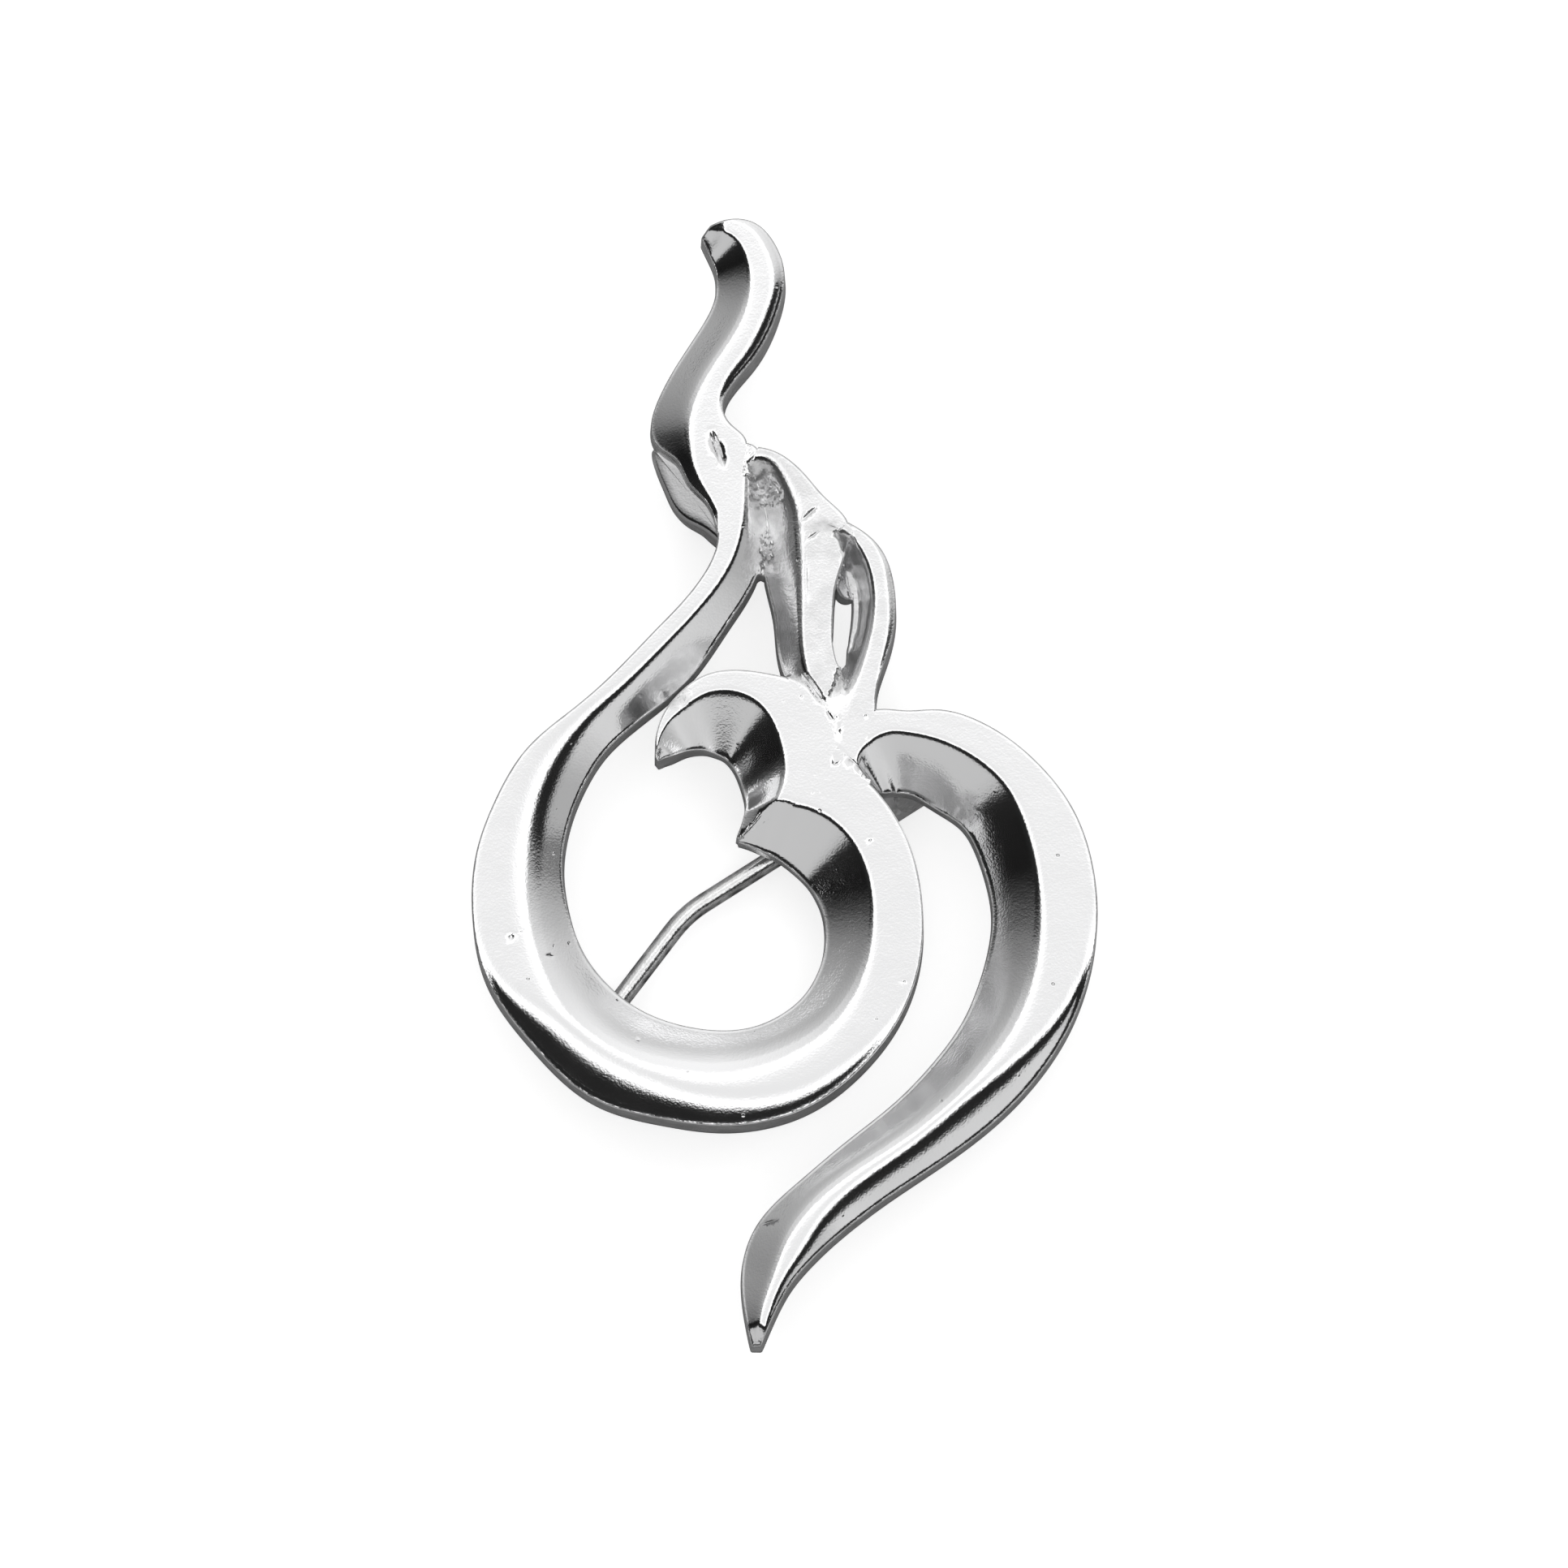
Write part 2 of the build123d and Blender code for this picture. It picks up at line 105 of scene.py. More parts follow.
hook_rows = [
    (0.127, 0.004, -42, 0.20, 0.28, 1.60, 0.00, 0.03),
    (0.119, 0.013, -46, 0.34, 0.38, 1.30, 0.00, 0.04),
    (0.123, 0.023, -55, 0.44, 0.40, 1.10, 0.00, 0.04),
    (0.136, 0.031, -63, 0.50, 0.34, 1.00, 0.00, 0.05),
    (0.165, 0.040, -78, 0.56, 0.25, 1.00, 0.02, 0.05),
    (0.196, 0.040, -87, 0.56, 0.23, 1.00, 0.02, 0.05),
    (0.240, 0.035, -100, 0.58, 0.30, 1.00, 0.02, 0.05),
    (0.299, 0.020, -120, 0.59, 0.35, 0.95, 0.02, 0.05),
    (0.351, -0.005, -139, 0.56, 0.39, 0.90, 0.02, 0.05),
    (0.383, -0.040, -158, 0.52, 0.50, 0.88, 0.02, 0.07),
    (0.401, -0.079, -171, 0.49, 0.56, 0.88, 0.02, 0.08),
    (0.406, -0.118, -180, 0.46, 0.58, 0.88, 0.04, 0.12),
    (0.399, -0.157, -189, 0.47, 0.57, 0.90, 0.07, 0.16),
    (0.377, -0.197, -203, 0.47, 0.54, 0.95, 0.17, 0.18),
    (0.338, -0.234, -215, 0.43, 0.51, 1.00, 0.30, 0.18),
    (0.279, -0.272, -224, 0.39, 0.47, 1.00, 0.38, 0.16),
    (0.201, -0.309, -234, 0.34, 0.42, 1.00, 0.34, 0.14),
    (0.123, -0.338, -236, 0.29, 0.42, 1.00, 0.32, 0.12),
    (0.052, -0.368, -230, 0.26, 0.42, 1.00, 0.28, 0.12),
    (0.006, -0.401, -212, 0.33, 0.35, 1.00, 0.18, 0.10),
    (-0.019, -0.436, -199, 0.31, 0.22, 1.00, 0.12, 0.08),
    (-0.035, -0.464, -188, 0.18, 0.16, 1.00, 0.08, 0.06),
    (-0.042, -0.497, -180, 0.06, 0.05, 1.00, 0.03, 0.02),
]
claw_rows = [
    (-0.203, 0.017, -75, 0.02, 0.01, 1.00, 0.00, 0.02),
    (-0.196, 0.035, -47, 0.21, 0.06, 1.00, 0.00, 0.03),
    (-0.181, 0.050, -57, 0.32, 0.11, 1.00, 0.00, 0.04),
    (-0.155, 0.063, -66, 0.43, 0.16, 0.92, 0.00, 0.05),
    (-0.121, 0.075, -82, 0.56, 0.19, 0.86, 0.00, 0.05),
    (-0.083, 0.077, -99, 0.61, 0.22, 0.86, 0.00, 0.05),
    (-0.045, 0.069, -116, 0.62, 0.30, 0.88, 0.00, 0.05),
    (-0.018, 0.051, -130, 0.58, 0.48, 0.88, 0.00, 0.05),
    (-0.003, 0.028, -142, 0.52, 0.60, 0.88, 0.00, 0.05),
    (0.001, 0.005, -150, 0.45, 0.60, 0.90, 0.00, 0.05),
    (-0.010, -0.018, -162, 0.34, 0.48, 0.80, 0.00, 0.04),
    (-0.038, -0.037, -160, 0.215, 0.16, 0.60, 0.00, 0.03),
    (-0.069, -0.049, -155, 0.05, 0.02, 0.60, 0.00, 0.02),
]
neck_rows = [
    (-0.129, 0.4873, -135, 0.05, 0.04, 1.00, 0.00, 0.02),
    (-0.1, 0.4863, -132, 0.22, 0.16, 1.00, 0.03, 0.04),
    (-0.077, 0.4796, -141, 0.31, 0.26, 1.00, 0.08, 0.05),
    (-0.061, 0.464, -157, 0.33, 0.33, 1.00, 0.12, 0.06),
    (-0.056, 0.446, -173, 0.33, 0.37, 1.00, 0.13, 0.08),
    (-0.062, 0.421, -193, 0.32, 0.35, 1.00, 0.14, 0.10),
    (-0.084, 0.394, -207, 0.32, 0.34, 1.00, 0.14, 0.10),
    (-0.117, 0.366, -203, 0.32, 0.31, 1.00, 0.12, 0.10),
    (-0.145, 0.337, -192, 0.34, 0.32, 1.00, 0.06, 0.12),
    (-0.155, 0.312, -180, 0.36, 0.46, 1.00, 0.03, 0.12),
    (-0.153, 0.299, -175, 0.30, 0.56, 1.00, 0.00, 0.10),
    (-0.149, 0.287, -172, 0.17, 0.58, 1.00, 0.00, 0.07),
    (-0.136, 0.266, -168, 0.12, 0.46, 1.00, 0.00, 0.05),
    (-0.117, 0.248, -162, 0.07, 0.34, 1.00, 0.00, 0.04),
    (-0.103, 0.23, -160, 0.06, 0.24, 1.00, 0.00, 0.04),
    (-0.1, 0.212, -180, 0.04, 0.12, 1.00, 0.00, 0.03),
]
stem_rows = [
    (-0.049, 0.288, -119, 0.10, 0.08, 0.00, 0.00, 0.04),
    (-0.025, 0.283, -135, 0.23, 0.11, 0.90, 0.02, 0.10),
    (-0.003, 0.266, -154, 0.26, 0.21, 1.15, 0.03, 0.14),
    (0.016, 0.240, -165, 0.31, 0.34, 1.04, 0.03, 0.15),
    (0.023, 0.212, -167, 0.35, 0.53, 0.95, 0.00, 0.13),
    (0.025, 0.180, -180, 0.34, 0.40, 1.20, 0.00, 0.10),
    (0.026, 0.146, -178, 0.26, 0.34, 1.50, 0.00, 0.07),
    (0.029, 0.114, -174, 0.24, 0.33, 1.50, 0.00, 0.06),
    (0.039, 0.093, -163, 0.23, 0.34, 0.80, 0.00, 0.05),
    (0.058, 0.069, -156, 0.19, 0.29, 0.00, 0.00, 0.05),
]
side_rows = [
    (0.092, 0.224, -141, 0.10, 0.07, 0.00, 0.00, 0.03),
    (0.110, 0.212, -150, 0.13, 0.14, 1.40, 0.03, 0.05),
    (0.129, 0.195, -158, 0.19, 0.20, 2.20, 0.05, 0.05),
    (0.140, 0.172, -170, 0.20, 0.23, 2.40, 0.08, 0.06),
    (0.140, 0.142, -185, 0.20, 0.25, 2.40, 0.08, 0.06),
    (0.129, 0.112, -192, 0.19, 0.24, 1.80, 0.06, 0.06),
    (0.116, 0.083, -192, 0.20, 0.22, 0.45, 0.03, 0.05),
    (0.103, 0.053, -186, 0.26, 0.29, 0.00, 0.00, 0.05),
]

# The slot goes right through the casting, between the two stems.
# across, up
slot_outline = [
    (0.097, 0.162), (0.108, 0.148), (0.103, 0.121), (0.097, 0.102),
    (0.091, 0.099), (0.081, 0.110), (0.079, 0.128), (0.086, 0.152),
]

# The valley that runs down to the slot, in the middle of the side stem's scoop.
slot_valley_depth = 1.9
# across, up, half width
slot_valley_rows = [
    (0.109, 0.211, 0.03),
    (0.110, 0.191, 0.11),
    (0.110, 0.167, 0.17),
    (0.109, 0.142, 0.16),
    (0.106, 0.114, 0.11),
    (0.102, 0.092, 0.05),
    (0.099, 0.078, 0.02),
]
# How far the crest sinks over the last rows, where two scoops meet in a ridge, in millimetres.
sunk_ends = {"loop": (0.4, 1.25, 1.9), "claw": (0.65, 1.2)}
# The slope at the foot of a rim, and the power of the way across it by which it gets there.
rim_shapes = {"loop": (0.66, 2.0), "neck": (0.85, 1.5)}
usual_rim_shape = (0.95, 1.5)

# Places where a strand's end runs into its neighbour at full height.
# across, up, radius
junctions = [
    (-0.061, 0.283, 0.70),
    (-0.062, 0.271, 0.30),
    (0.079, 0.215, 0.80),
    (0.065, 0.066, 0.96),
    (0.097, 0.069, 1.16),
    (0.126, -0.001, 0.40),
    (0.100, 0.172, 0.42),
    (0.102, 0.184, 0.36),
]

# The web: a thin floor between the loop and the centre stem, well below the front.
# across, up
web_outline = [
    (-0.046, 0.271), (-0.038, 0.279), (-0.019, 0.262), (-0.003, 0.232), (0.003, 0.196),
    (-0.012, 0.178), (-0.038, 0.186), (-0.055, 0.178), (-0.070, 0.192), (-0.066, 0.232),
]
web_height = -1.7
# An ellipse that covers the web, for the points that fill it. Its half sizes are in millimetres.
web_middle = (-0.028, 0.230)
web_half = (1.2, 3.2)

# Patches left rough by casting and solder. Half across and half up are in millimetres.
# across, up, half across, half up, depth, grain, share left as cast
rough_patches = [
    (-0.021, 0.252, 0.70, 0.75, 0.16, 0.24, 0.6),
    (-0.027, 0.208, 0.34, 0.95, 0.18, 0.22, 0.5),
    (-0.173, 0.074, 0.95, 0.85, 0.09, 0.34, 0.7),
    (0.064, 0.222, 1.25, 0.40, 0.025, 0.30, 0.6),
    (0.292, -0.024, 0.90, 1.10, 0.012, 0.30, 0.2),
    (-0.105, 0.292, 0.10, 0.90, 0.02, 0.26, 0.8),
]

# Dents, creases, scratches and worn tips. Length and width are in millimetres and turn in degrees.
# across, up, length, width, turn, depth
dents = [
    (-0.131, 0.488, 2.60, 2.60, 0, 0.50),
    (-0.204, 0.012, 2.20, 2.20, 0, 0.55),
    (-0.042, -0.500, 3.00, 2.00, 90, 0.70),
    (-0.105, 0.292, 2.40, 0.44, -70, 0.32),
    (0.106, 0.181, 1.40, 0.46, -83, 1.30),
    (0.048, 0.079, 2.50, 0.50, -56, 0.30),
    (0.074, 0.055, 0.90, 0.22, -55, 0.07),
    (0.042, 0.234, 1.40, 0.20, 42, 0.09),
    (0.049, 0.215, 1.30, 0.16, 36, 0.05),
    (0.078, 0.222, 0.80, 0.14, -20, 0.05),
    (0.038, 0.174, 3.60, 0.12, -87, 0.02),
    (-0.431, -0.140, 0.46, 0.34, 60, 0.08),
    (-0.414, -0.135, 0.30, 0.12, 10, 0.03),
    (-0.370, -0.156, 0.55, 0.14, 0, 0.04),
    (0.082, 0.012, 0.34, 0.20, -30, 0.05),
    (0.138, -0.055, 0.34, 0.16, 60, 0.04),
    (0.029, 0.072, 0.26, 0.14, 20, 0.03),
    (0.131, 0.055, 0.22, 0.12, 80, 0.03),
    (-0.230, -0.229, 0.34, 0.12, 10, 0.03),
    (0.192, -0.179, 0.22, 0.12, 30, 0.03),
    (-0.021, -0.387, 1.20, 0.18, 15, 0.04),
]


def curve_through(knots, values, at):
    """The natural cubic spline through values at the knots: its second derivatives solve one linear
    system, and each stretch is the cubic with those second derivatives at its two ends."""
    step = np.diff(knots)
    slope = np.diff(values, axis=0) / step[:, None]
    inside = np.arange(1, len(knots) - 1)
    system = np.eye(len(knots))
    system[inside, inside - 1] = step[:-1]
    system[inside, inside] = 2 * (step[:-1] + step[1:])
    system[inside, inside + 1] = step[1:]
    wanted = np.zeros_like(values)
    wanted[1:-1] = 6 * np.diff(slope, axis=0)
    bend = np.linalg.solve(system, wanted)
    k = np.clip(np.searchsorted(knots, at, side="right") - 1, 0, len(knots) - 2)
    run, wide = (at - knots[k])[:, None], step[k][:, None]
    straight = run * (slope[k] - wide * (2 * bend[k] + bend[k + 1]) / 6)
    return values[k] + straight + run**2 * bend[k] / 2 + run**3 * (bend[k + 1] - bend[k]) / (6 * wide)


def travelled(line):
    """The length along a line up to each of its points."""
    return np.concatenate([[0], np.cumsum(np.linalg.norm(np.diff(line, axis=0), axis=1))])


def unit(vectors):
    """Each vector at length one."""
    return vectors / np.linalg.norm(vectors, axis=1)[:, None]


def strand(name, rows):
    """Stations along a strand: its crest, inner edge and outer edge are splines through the rows, spaced by
    the mean length of the three lines, and the other columns are splined with them. The sink is straight
    from row to row."""
    sunk = sunk_ends.get(name, ())
    sink = np.concatenate([np.zeros(len(rows) - len(sunk)), sunk])
    across, up, facing, inner, outer, cut, rim, soft = np.array(rows, float).T
    crest = np.stack([across, up], 1) * brooch_size
    side = np.stack([np.cos(np.radians(facing)), np.sin(np.radians(facing))], 1)
    inner_edge = crest + side * (inner * band_width)[:, None]
    outer_edge = crest - side * (outer * band_width)[:, None]
    lengths = [np.linalg.norm(np.diff(line, axis=0), axis=1) for line in (crest, inner_edge, outer_edge)]
    knots = np.concatenate([[0], np.cumsum(np.mean(lengths, axis=0))])
    at = np.linspace(0, knots[-1], int(knots[-1] / station_step) + 2)
    columns = np.stack([cut, rim * band_width, soft * band_width], 1)
    fine = curve_through(knots, np.hstack([crest, inner_edge, outer_edge, columns]), at)
    return {
        "crest": fine[:, 0:2],
        "inner": fine[:, 2:4],
        "outer": fine[:, 4:6],
        "cut": np.maximum(fine[:, 6], 0),
        "rim": np.maximum(fine[:, 7], least_reach),
        "soft": np.maximum(fine[:, 8], least_reach),
        "sink": np.interp(at, knots, sink),
        "rim_shape": rim_shapes.get(name, usual_rim_shape),
    }


block_size = 4000
reach_slack = 0.02


def locate(points, base, edge):
    """For each point, the station whose line from base to edge passes through it, as a whole number and a
    part, and how far along that line it lies, from 0 at the base to 1 at the edge. The line passes through
    a point where their cross product changes sign between two stations. Points are taken a block at a time,
    to spare memory."""
    span = edge - base
    span_squared = (span**2).sum(1)
    station, share = [], []
    for block in np.array_split(points, max(1, len(points) // block_size)):
        off = block[:, None, :] - base[None]
        miss = off[..., 0] * span[:, 1] - off[..., 1] * span[:, 0]
        along = (off * span).sum(2) / span_squared
        turn = miss[:, :-1] - miss[:, 1:]
        part = miss[:, :-1] / np.where(turn == 0, 1, turn)
        reach = along[:, :-1] * (1 - part) + along[:, 1:] * part
        on_line = (reach >= -reach_slack) & (reach <= 1 + reach_slack)
        met = (part >= 0) & (part <= 1) & (turn != 0) & on_line
        cost = np.where(met, np.abs(reach), np.inf)
        pick = cost.argmin(1)
        row = np.arange(len(block))
        found = np.isfinite(cost[row, pick])
        station.append(np.where(found, pick + part[row, pick], np.nan))
        share.append(np.where(found, reach[row, pick], np.nan))
    return np.concatenate(station), np.concatenate(share)


def along_strand(values, station):
    """A column read between its stations, in a straight line."""
    return np.interp(np.nan_to_num(station), np.arange(len(values)), values)


def soft_lower(a, b, width):
    """The lower of two heights, rounded where they are within a width of each other: the lower one less a
    sixth of the width times the cube of how near they are."""
    near = np.clip(1 - np.abs(a - b) / width, 0, 1)
    return np.minimum(a, b) - width * near**3 / 6


def strand_height(points, line):
    """A strand's height at each point, below the front. Inside the crest it falls to the inner edge by the
    bevel's slope times the cut, a little steeper near the crest. Outside it is level, and rounds down over
    its rim by a power of the way across it. A crest that sinks carries both sides of its slope down with
    it. Where the strand doesn't reach, the height is minus infinity."""
    inner_station, inner_share = locate(points, line["crest"], line["inner"])
    outer_station, outer_share = locate(points, line["crest"], line["outer"])
    inner_reach = np.linalg.norm(line["inner"] - line["crest"], axis=1)
    outer_reach = np.linalg.norm(line["outer"] - line["crest"], axis=1)
    is_inner = np.isfinite(inner_share) & ~(outer_share < inner_share)
    station = np.where(is_inner, inner_station, outer_station)
    cut, rim, soft, sink = (along_strand(line[name], station) for name in ("cut", "rim", "soft", "sink"))
    inside = np.maximum(along_strand(inner_reach, station), least_reach)
    outside = along_strand(outer_reach, station)
    away = np.where(is_inner, inner_share * inside, -outer_share * outside)
    fall = np.minimum(bevel_slope * cut * inside, deepest_cut)
    left = np.clip(1 - away / inside, 0, 1)
    steep = fall / inside * bevel_hollow
    scoop = np.where(away > 0, -fall * (1 - left**bevel_hollow), -away * steep)
    height = soft_lower(np.zeros_like(scoop), scoop - sink, np.maximum(soft * steep, least_soft))
    beyond = np.clip(-away - (outside - rim), 0, None)
    slope, power = line["rim_shape"]
    height = height - slope * rim / power * (beyond / rim) ** power
    reached = np.isfinite(inner_share) | np.isfinite(outer_share)
    return np.where(reached, height, -np.inf)


groove_points = 60
least_groove = 0.02


def groove_height(points, rows, depth):
    """How deep a groove lies below the front: its depth times its half width as a share of the widest, less
    the square of the distance from its middle line."""
    across, up, half = np.array(rows, float).T
    middle = np.stack([across, up], 1) * brooch_size
    knots = travelled(middle)
    at = np.linspace(0, knots[-1], groove_points)
    line = curve_through(knots, np.column_stack([middle, half * band_width]), at)
    gap = np.linalg.norm(points[:, None, :] - line[None, :, :2], axis=2)
    nearest = gap.argmin(1)
    distance = gap[np.arange(len(points)), nearest]
    reach = np.maximum(line[nearest, 2], least_groove)
    share = 1 - (distance / reach) ** 2
    return -depth * reach / line[:, 2].max() * np.clip(share, 0, 1)


def arc(centre, radius, start, end, count):
    """Points evenly spaced on an arc between two turns."""
    turn = np.linspace(start, end, count)
    return centre + radius * np.stack([np.cos(turn), np.sin(turn)], 1)


def ring(centre, radius, count):
    """Points evenly spaced on a circle."""
    return arc(centre, radius, 0, 2 * pi, count + 1)[:-1]


def closed_spline(corners, count):
    """A smooth closed line through a few corners: the corners are gone round three times and the middle
    round of the spline is kept."""
    rounds = np.vstack([corners, corners, corners, corners[:1]])
    knots = travelled(rounds)
    lap = knots[len(corners)]
    return curve_through(knots, rounds, np.linspace(lap, 2 * lap, count, endpoint=False))


def inside_outline(points, outline):
    """Whether each point lies in a closed line: a level ray from it then crosses the line an odd number of
    times."""
    after = np.roll(outline, -1, axis=0)
    rises = (outline[:, 1] > points[:, 1:2]) != (after[:, 1] > points[:, 1:2])
    climb = np.where(after[:, 1] == outline[:, 1], 1, after[:, 1] - outline[:, 1])
    cross = outline[:, 0] + (points[:, 1:2] - outline[:, 1]) / climb * (after[:, 0] - outline[:, 0])
    return (rises & (points[:, 0:1] < cross)).sum(1) % 2 == 1


lattice_size = 64


def lumps(points, cell, seed):
    """Uneven ground from -1 to 1: random heights on a square lattice of this cell, with a smooth step in
    both directions between them."""
    lattice = np.random.default_rng(seed).uniform(-1, 1, (lattice_size, lattice_size))
    place = points / cell
    corner = np.floor(place).astype(int)
    part = place - corner
    part = part * part * (3 - 2 * part)
    a, b = (corner % lattice_size).T
    c, d = (a + 1) % lattice_size, (b + 1) % lattice_size
    low = lattice[a, b] * (1 - part[:, 0]) + lattice[c, b] * part[:, 0]
    high = lattice[a, d] * (1 - part[:, 0]) + lattice[c, d] * part[:, 0]
    return low * (1 - part[:, 1]) + high * part[:, 1]


patch_fullness = 1.5
seed_step = 20


def patch_share(points, patch):
    """How far a point lies in a rough patch: 1 in its middle, 0 from its edge outwards, by one less the
    squared distance from its middle."""
    off = (points - patch[:2] * brooch_size) / patch[2:4]
    return np.clip(patch_fullness * (1 - (off**2).sum(1)), 0, 1)


def patch_height(points):
    """The rough patches: two scales of lumps, the finer half as deep, as deep as the patch says."""
    height = np.zeros(len(points))
    for seed, patch in enumerate(rough_patches):
        depth, grain = patch[4:6]
        ground = lumps(points, grain, seed) + 0.5 * lumps(points, grain / 2, seed + seed_step)
        height += depth * ground * patch_share(points, patch)
    return height


def dent_height(points):
    """The dents: each an ellipse whose depth falls off as the square of one less the squared distance."""
    height = np.zeros(len(points))
    for across, up, length, width, turn, depth in dents:
        off = points - (across, up) * brooch_size
        c, s = cos(radians(turn)), sin(radians(turn))
        reach = ((off @ (c, s)) / (length / 2)) ** 2 + ((off @ (-s, c)) / (width / 2)) ** 2
        height -= depth * np.clip(1 - reach, 0, 1) ** 2
    return height


strand_rows = {
    "loop": loop_rows,
    "hook": hook_rows,
    "claw": claw_rows,
    "neck": neck_rows,
    "stem": stem_rows,
    "side": side_rows,
}
strands = {name: strand(name, rows) for name, rows in strand_rows.items()}
groups = (("loop", "hook", "claw"), ("neck",), ("stem", "side"))
web_points = 70
web_line = closed_spline(np.array(web_outline) * brooch_size, web_points)


def casting_height(points):
    """The front of the casting. In a group of strands that are cut from one band the lowest cut holds, and
    of the groups the highest. The web is a floor under them. Grooves, rough patches and dents come last,
    and the back stays whole under them."""
    surface = np.full(len(points), -np.inf)
    for names in groups:
        cut = np.stack([strand_height(points, strands[name]) for name in names])
        reached = np.isfinite(cut).any(0)
        lowest = np.where(np.isfinite(cut), cut, np.inf).min(0)
        surface = np.maximum(surface, np.where(reached, lowest, -np.inf))
    in_web = inside_outline(points, web_line)
    surface = np.where(np.isfinite(surface), surface, np.where(in_web, web_height, 0))
    surface = np.where(in_web, np.maximum(surface, web_height), surface)
    valley = groove_height(points, slot_valley_rows, slot_valley_depth)
    return np.clip(surface + valley + patch_height(points) + dent_height(points), -deepest_cut, 0)


across_shares = (0.06, 0.12, 0.2, 0.3, 0.42, 0.56, 0.7, 0.84, 0.93)


def strand_points(line):
    """The strand's outline, drawn in by the edge's rounding and the wall's draft, how far each of its points
    is drawn in, and the points that fill it: fixed shares of the way from the crest to each edge."""
    crest = line["crest"]
    lengths = travelled(crest)
    widths = [np.linalg.norm(line[side] - crest, axis=1) for side in ("inner", "outer")]
    drawn = np.minimum(inset, tip_share * np.minimum(*widths))
    keep = (lengths >= drawn[0]) & (lengths <= lengths[-1] - drawn[-1])
    edges, fill = [], [crest[keep]]
    for side, width in zip(("inner", "outer"), widths):
        edge = crest + (line[side] - crest) * (1 - drawn / width)[:, None]
        edges.append(edge[keep])
        fill += [(crest + (edge - crest) * share)[keep] for share in across_shares]
    outline = np.vstack([edges[0], edges[1][::-1]])
    return outline, np.concatenate([drawn[keep], drawn[keep][::-1]]), np.vstack(fill)


def patch_grid(across, up, half_across, half_up, turn, step):
    """A square grid of points that fills an ellipse."""
    reach = max(half_across, half_up)
    line = np.arange(-reach, reach + step, step)
    u, v = (grid.ravel() for grid in np.meshgrid(line, line))
    keep = (u / half_across) ** 2 + (v / half_up) ** 2 <= 1
    c, s = cos(radians(turn)), sin(radians(turn))
    u, v = u[keep], v[keep]
    return np.stack([across * brooch_width + u * c - v * s, up * brooch_height + u * s + v * c], 1)


def anticlockwise(outline):
    """A closed line turned so that its area, by the shoelace sum, is positive."""
    after = np.roll(outline, -1, axis=0)
    area = (outline[:, 0] * after[:, 1] - outline[:, 1] * after[:, 0]).sum() / 2
    return outline if area > 0 else outline[::-1]


def filled(outlines, fills, near_enough, stays):
    """The points and triangles that fill closed lines, which may overlap, with further points between them.
    Points that are near enough are merged. Whether a triangle stays is asked with the numbers of the lines
    around it."""
    ends = np.cumsum([len(outline) for outline in outlines])
    faces = [list(range(end - len(outline), end)) for end, outline in zip(ends, outlines)]
    cloud = np.vstack([anticlockwise(outline) for outline in outlines] + fills)
    net = delaunay_2d_cdt([Vector(point) for point in cloud], [], faces, 0, near_enough, True)
    flat, triangles, around = np.array([tuple(point) for point in net[0]]), np.array(net[2]), net[5]
    used, triangles = np.unique(triangles[[stays(lines) for lines in around]], return_inverse=True)
    return flat[used], triangles.reshape(-1, 3)


ring_points = 60
ring_shares = (0.25, 0.5, 0.75)
finest_step = 0.13
near_enough = 1e-4
slot_corners = np.array(slot_outline) * brooch_size
slot_line = closed_spline(slot_corners, ring_points)
slot_away = slot_line - slot_corners.mean(0)
slot_line = slot_line + slot_away * (slot_inset / np.linalg.norm(slot_away, axis=1))[:, None]

outlines, insets, fills = [], [], []
for line in strands.values():
    outline, drawn, fill = strand_points(line)
    outlines.append(outline)
    insets.append(drawn)
    fills.append(fill)
for across, up, radius in junctions + [(*knot_place, knot_radius - inset)]:
    centre = (across, up) * brooch_size
    outlines.append(ring(centre, radius, ring_points))
    insets.append(np.full(ring_points, inset))
    fills += [ring(centre, radius * share, int(ring_points * share)) for share in ring_shares]
outlines += [web_line, slot_line]
insets += [np.full(len(web_line), inset), np.full(len(slot_line), slot_inset)]
for across, up, half_across, half_up, _, grain, _ in rough_patches:
    fills.append(patch_grid(across, up, half_across, half_up, 0, grain / 4))
for across, up, length, width, turn, _ in dents:
    fills.append(patch_grid(across, up, length / 2, width / 2, turn, min(width / 5, finest_step)))
web_grid = patch_grid(*web_middle, *web_half, 0, finest_step)
fills.append(web_grid[inside_outline(web_grid, web_line)])

slot_number = len(outlines) - 1
flat, top = filled(outlines, fills, near_enough, lambda lines: bool(lines) and slot_number not in lines)
height = casting_height(flat)


def outline_edges(triangles):
    """The edges that belong to one triangle only, each in the direction that its triangle runs."""
    pairs = np.vstack([triangles[:, [0, 1]], triangles[:, [1, 2]], triangles[:, [2, 0]]])
    names = np.sort(pairs, 1)
    _, first, count = np.unique(names, axis=0, return_index=True, return_counts=True)
    return pairs[first[count == 1]]


def even_out(values, pairs, rounds):
    """Each value moves halfway to the mean of its neighbours, so many times."""
    values = values.copy()
    a, b = pairs.T
    ends, others = np.concatenate([a, b]), np.concatenate([b, a])
    count = np.maximum(np.bincount(ends, minlength=len(values)), 1)
    for _ in range(rounds):
        mean = np.stack([np.bincount(ends, column[others], len(values)) for column in values.T], 1)
        values += 0.5 * (mean / count[:, None] - values)
    return values


def make_piece(name, points, faces):
    """A mesh from points in millimetres and triangles or quads."""
    mesh = bpy.data.meshes.new(name)
    mesh.from_pydata((points * mm).tolist(), [], faces.tolist())
    mesh.validate()
    mesh.shade_smooth()
    piece = bpy.data.objects.new(name, mesh)
    bpy.context.scene.collection.objects.link(piece)
    return piece


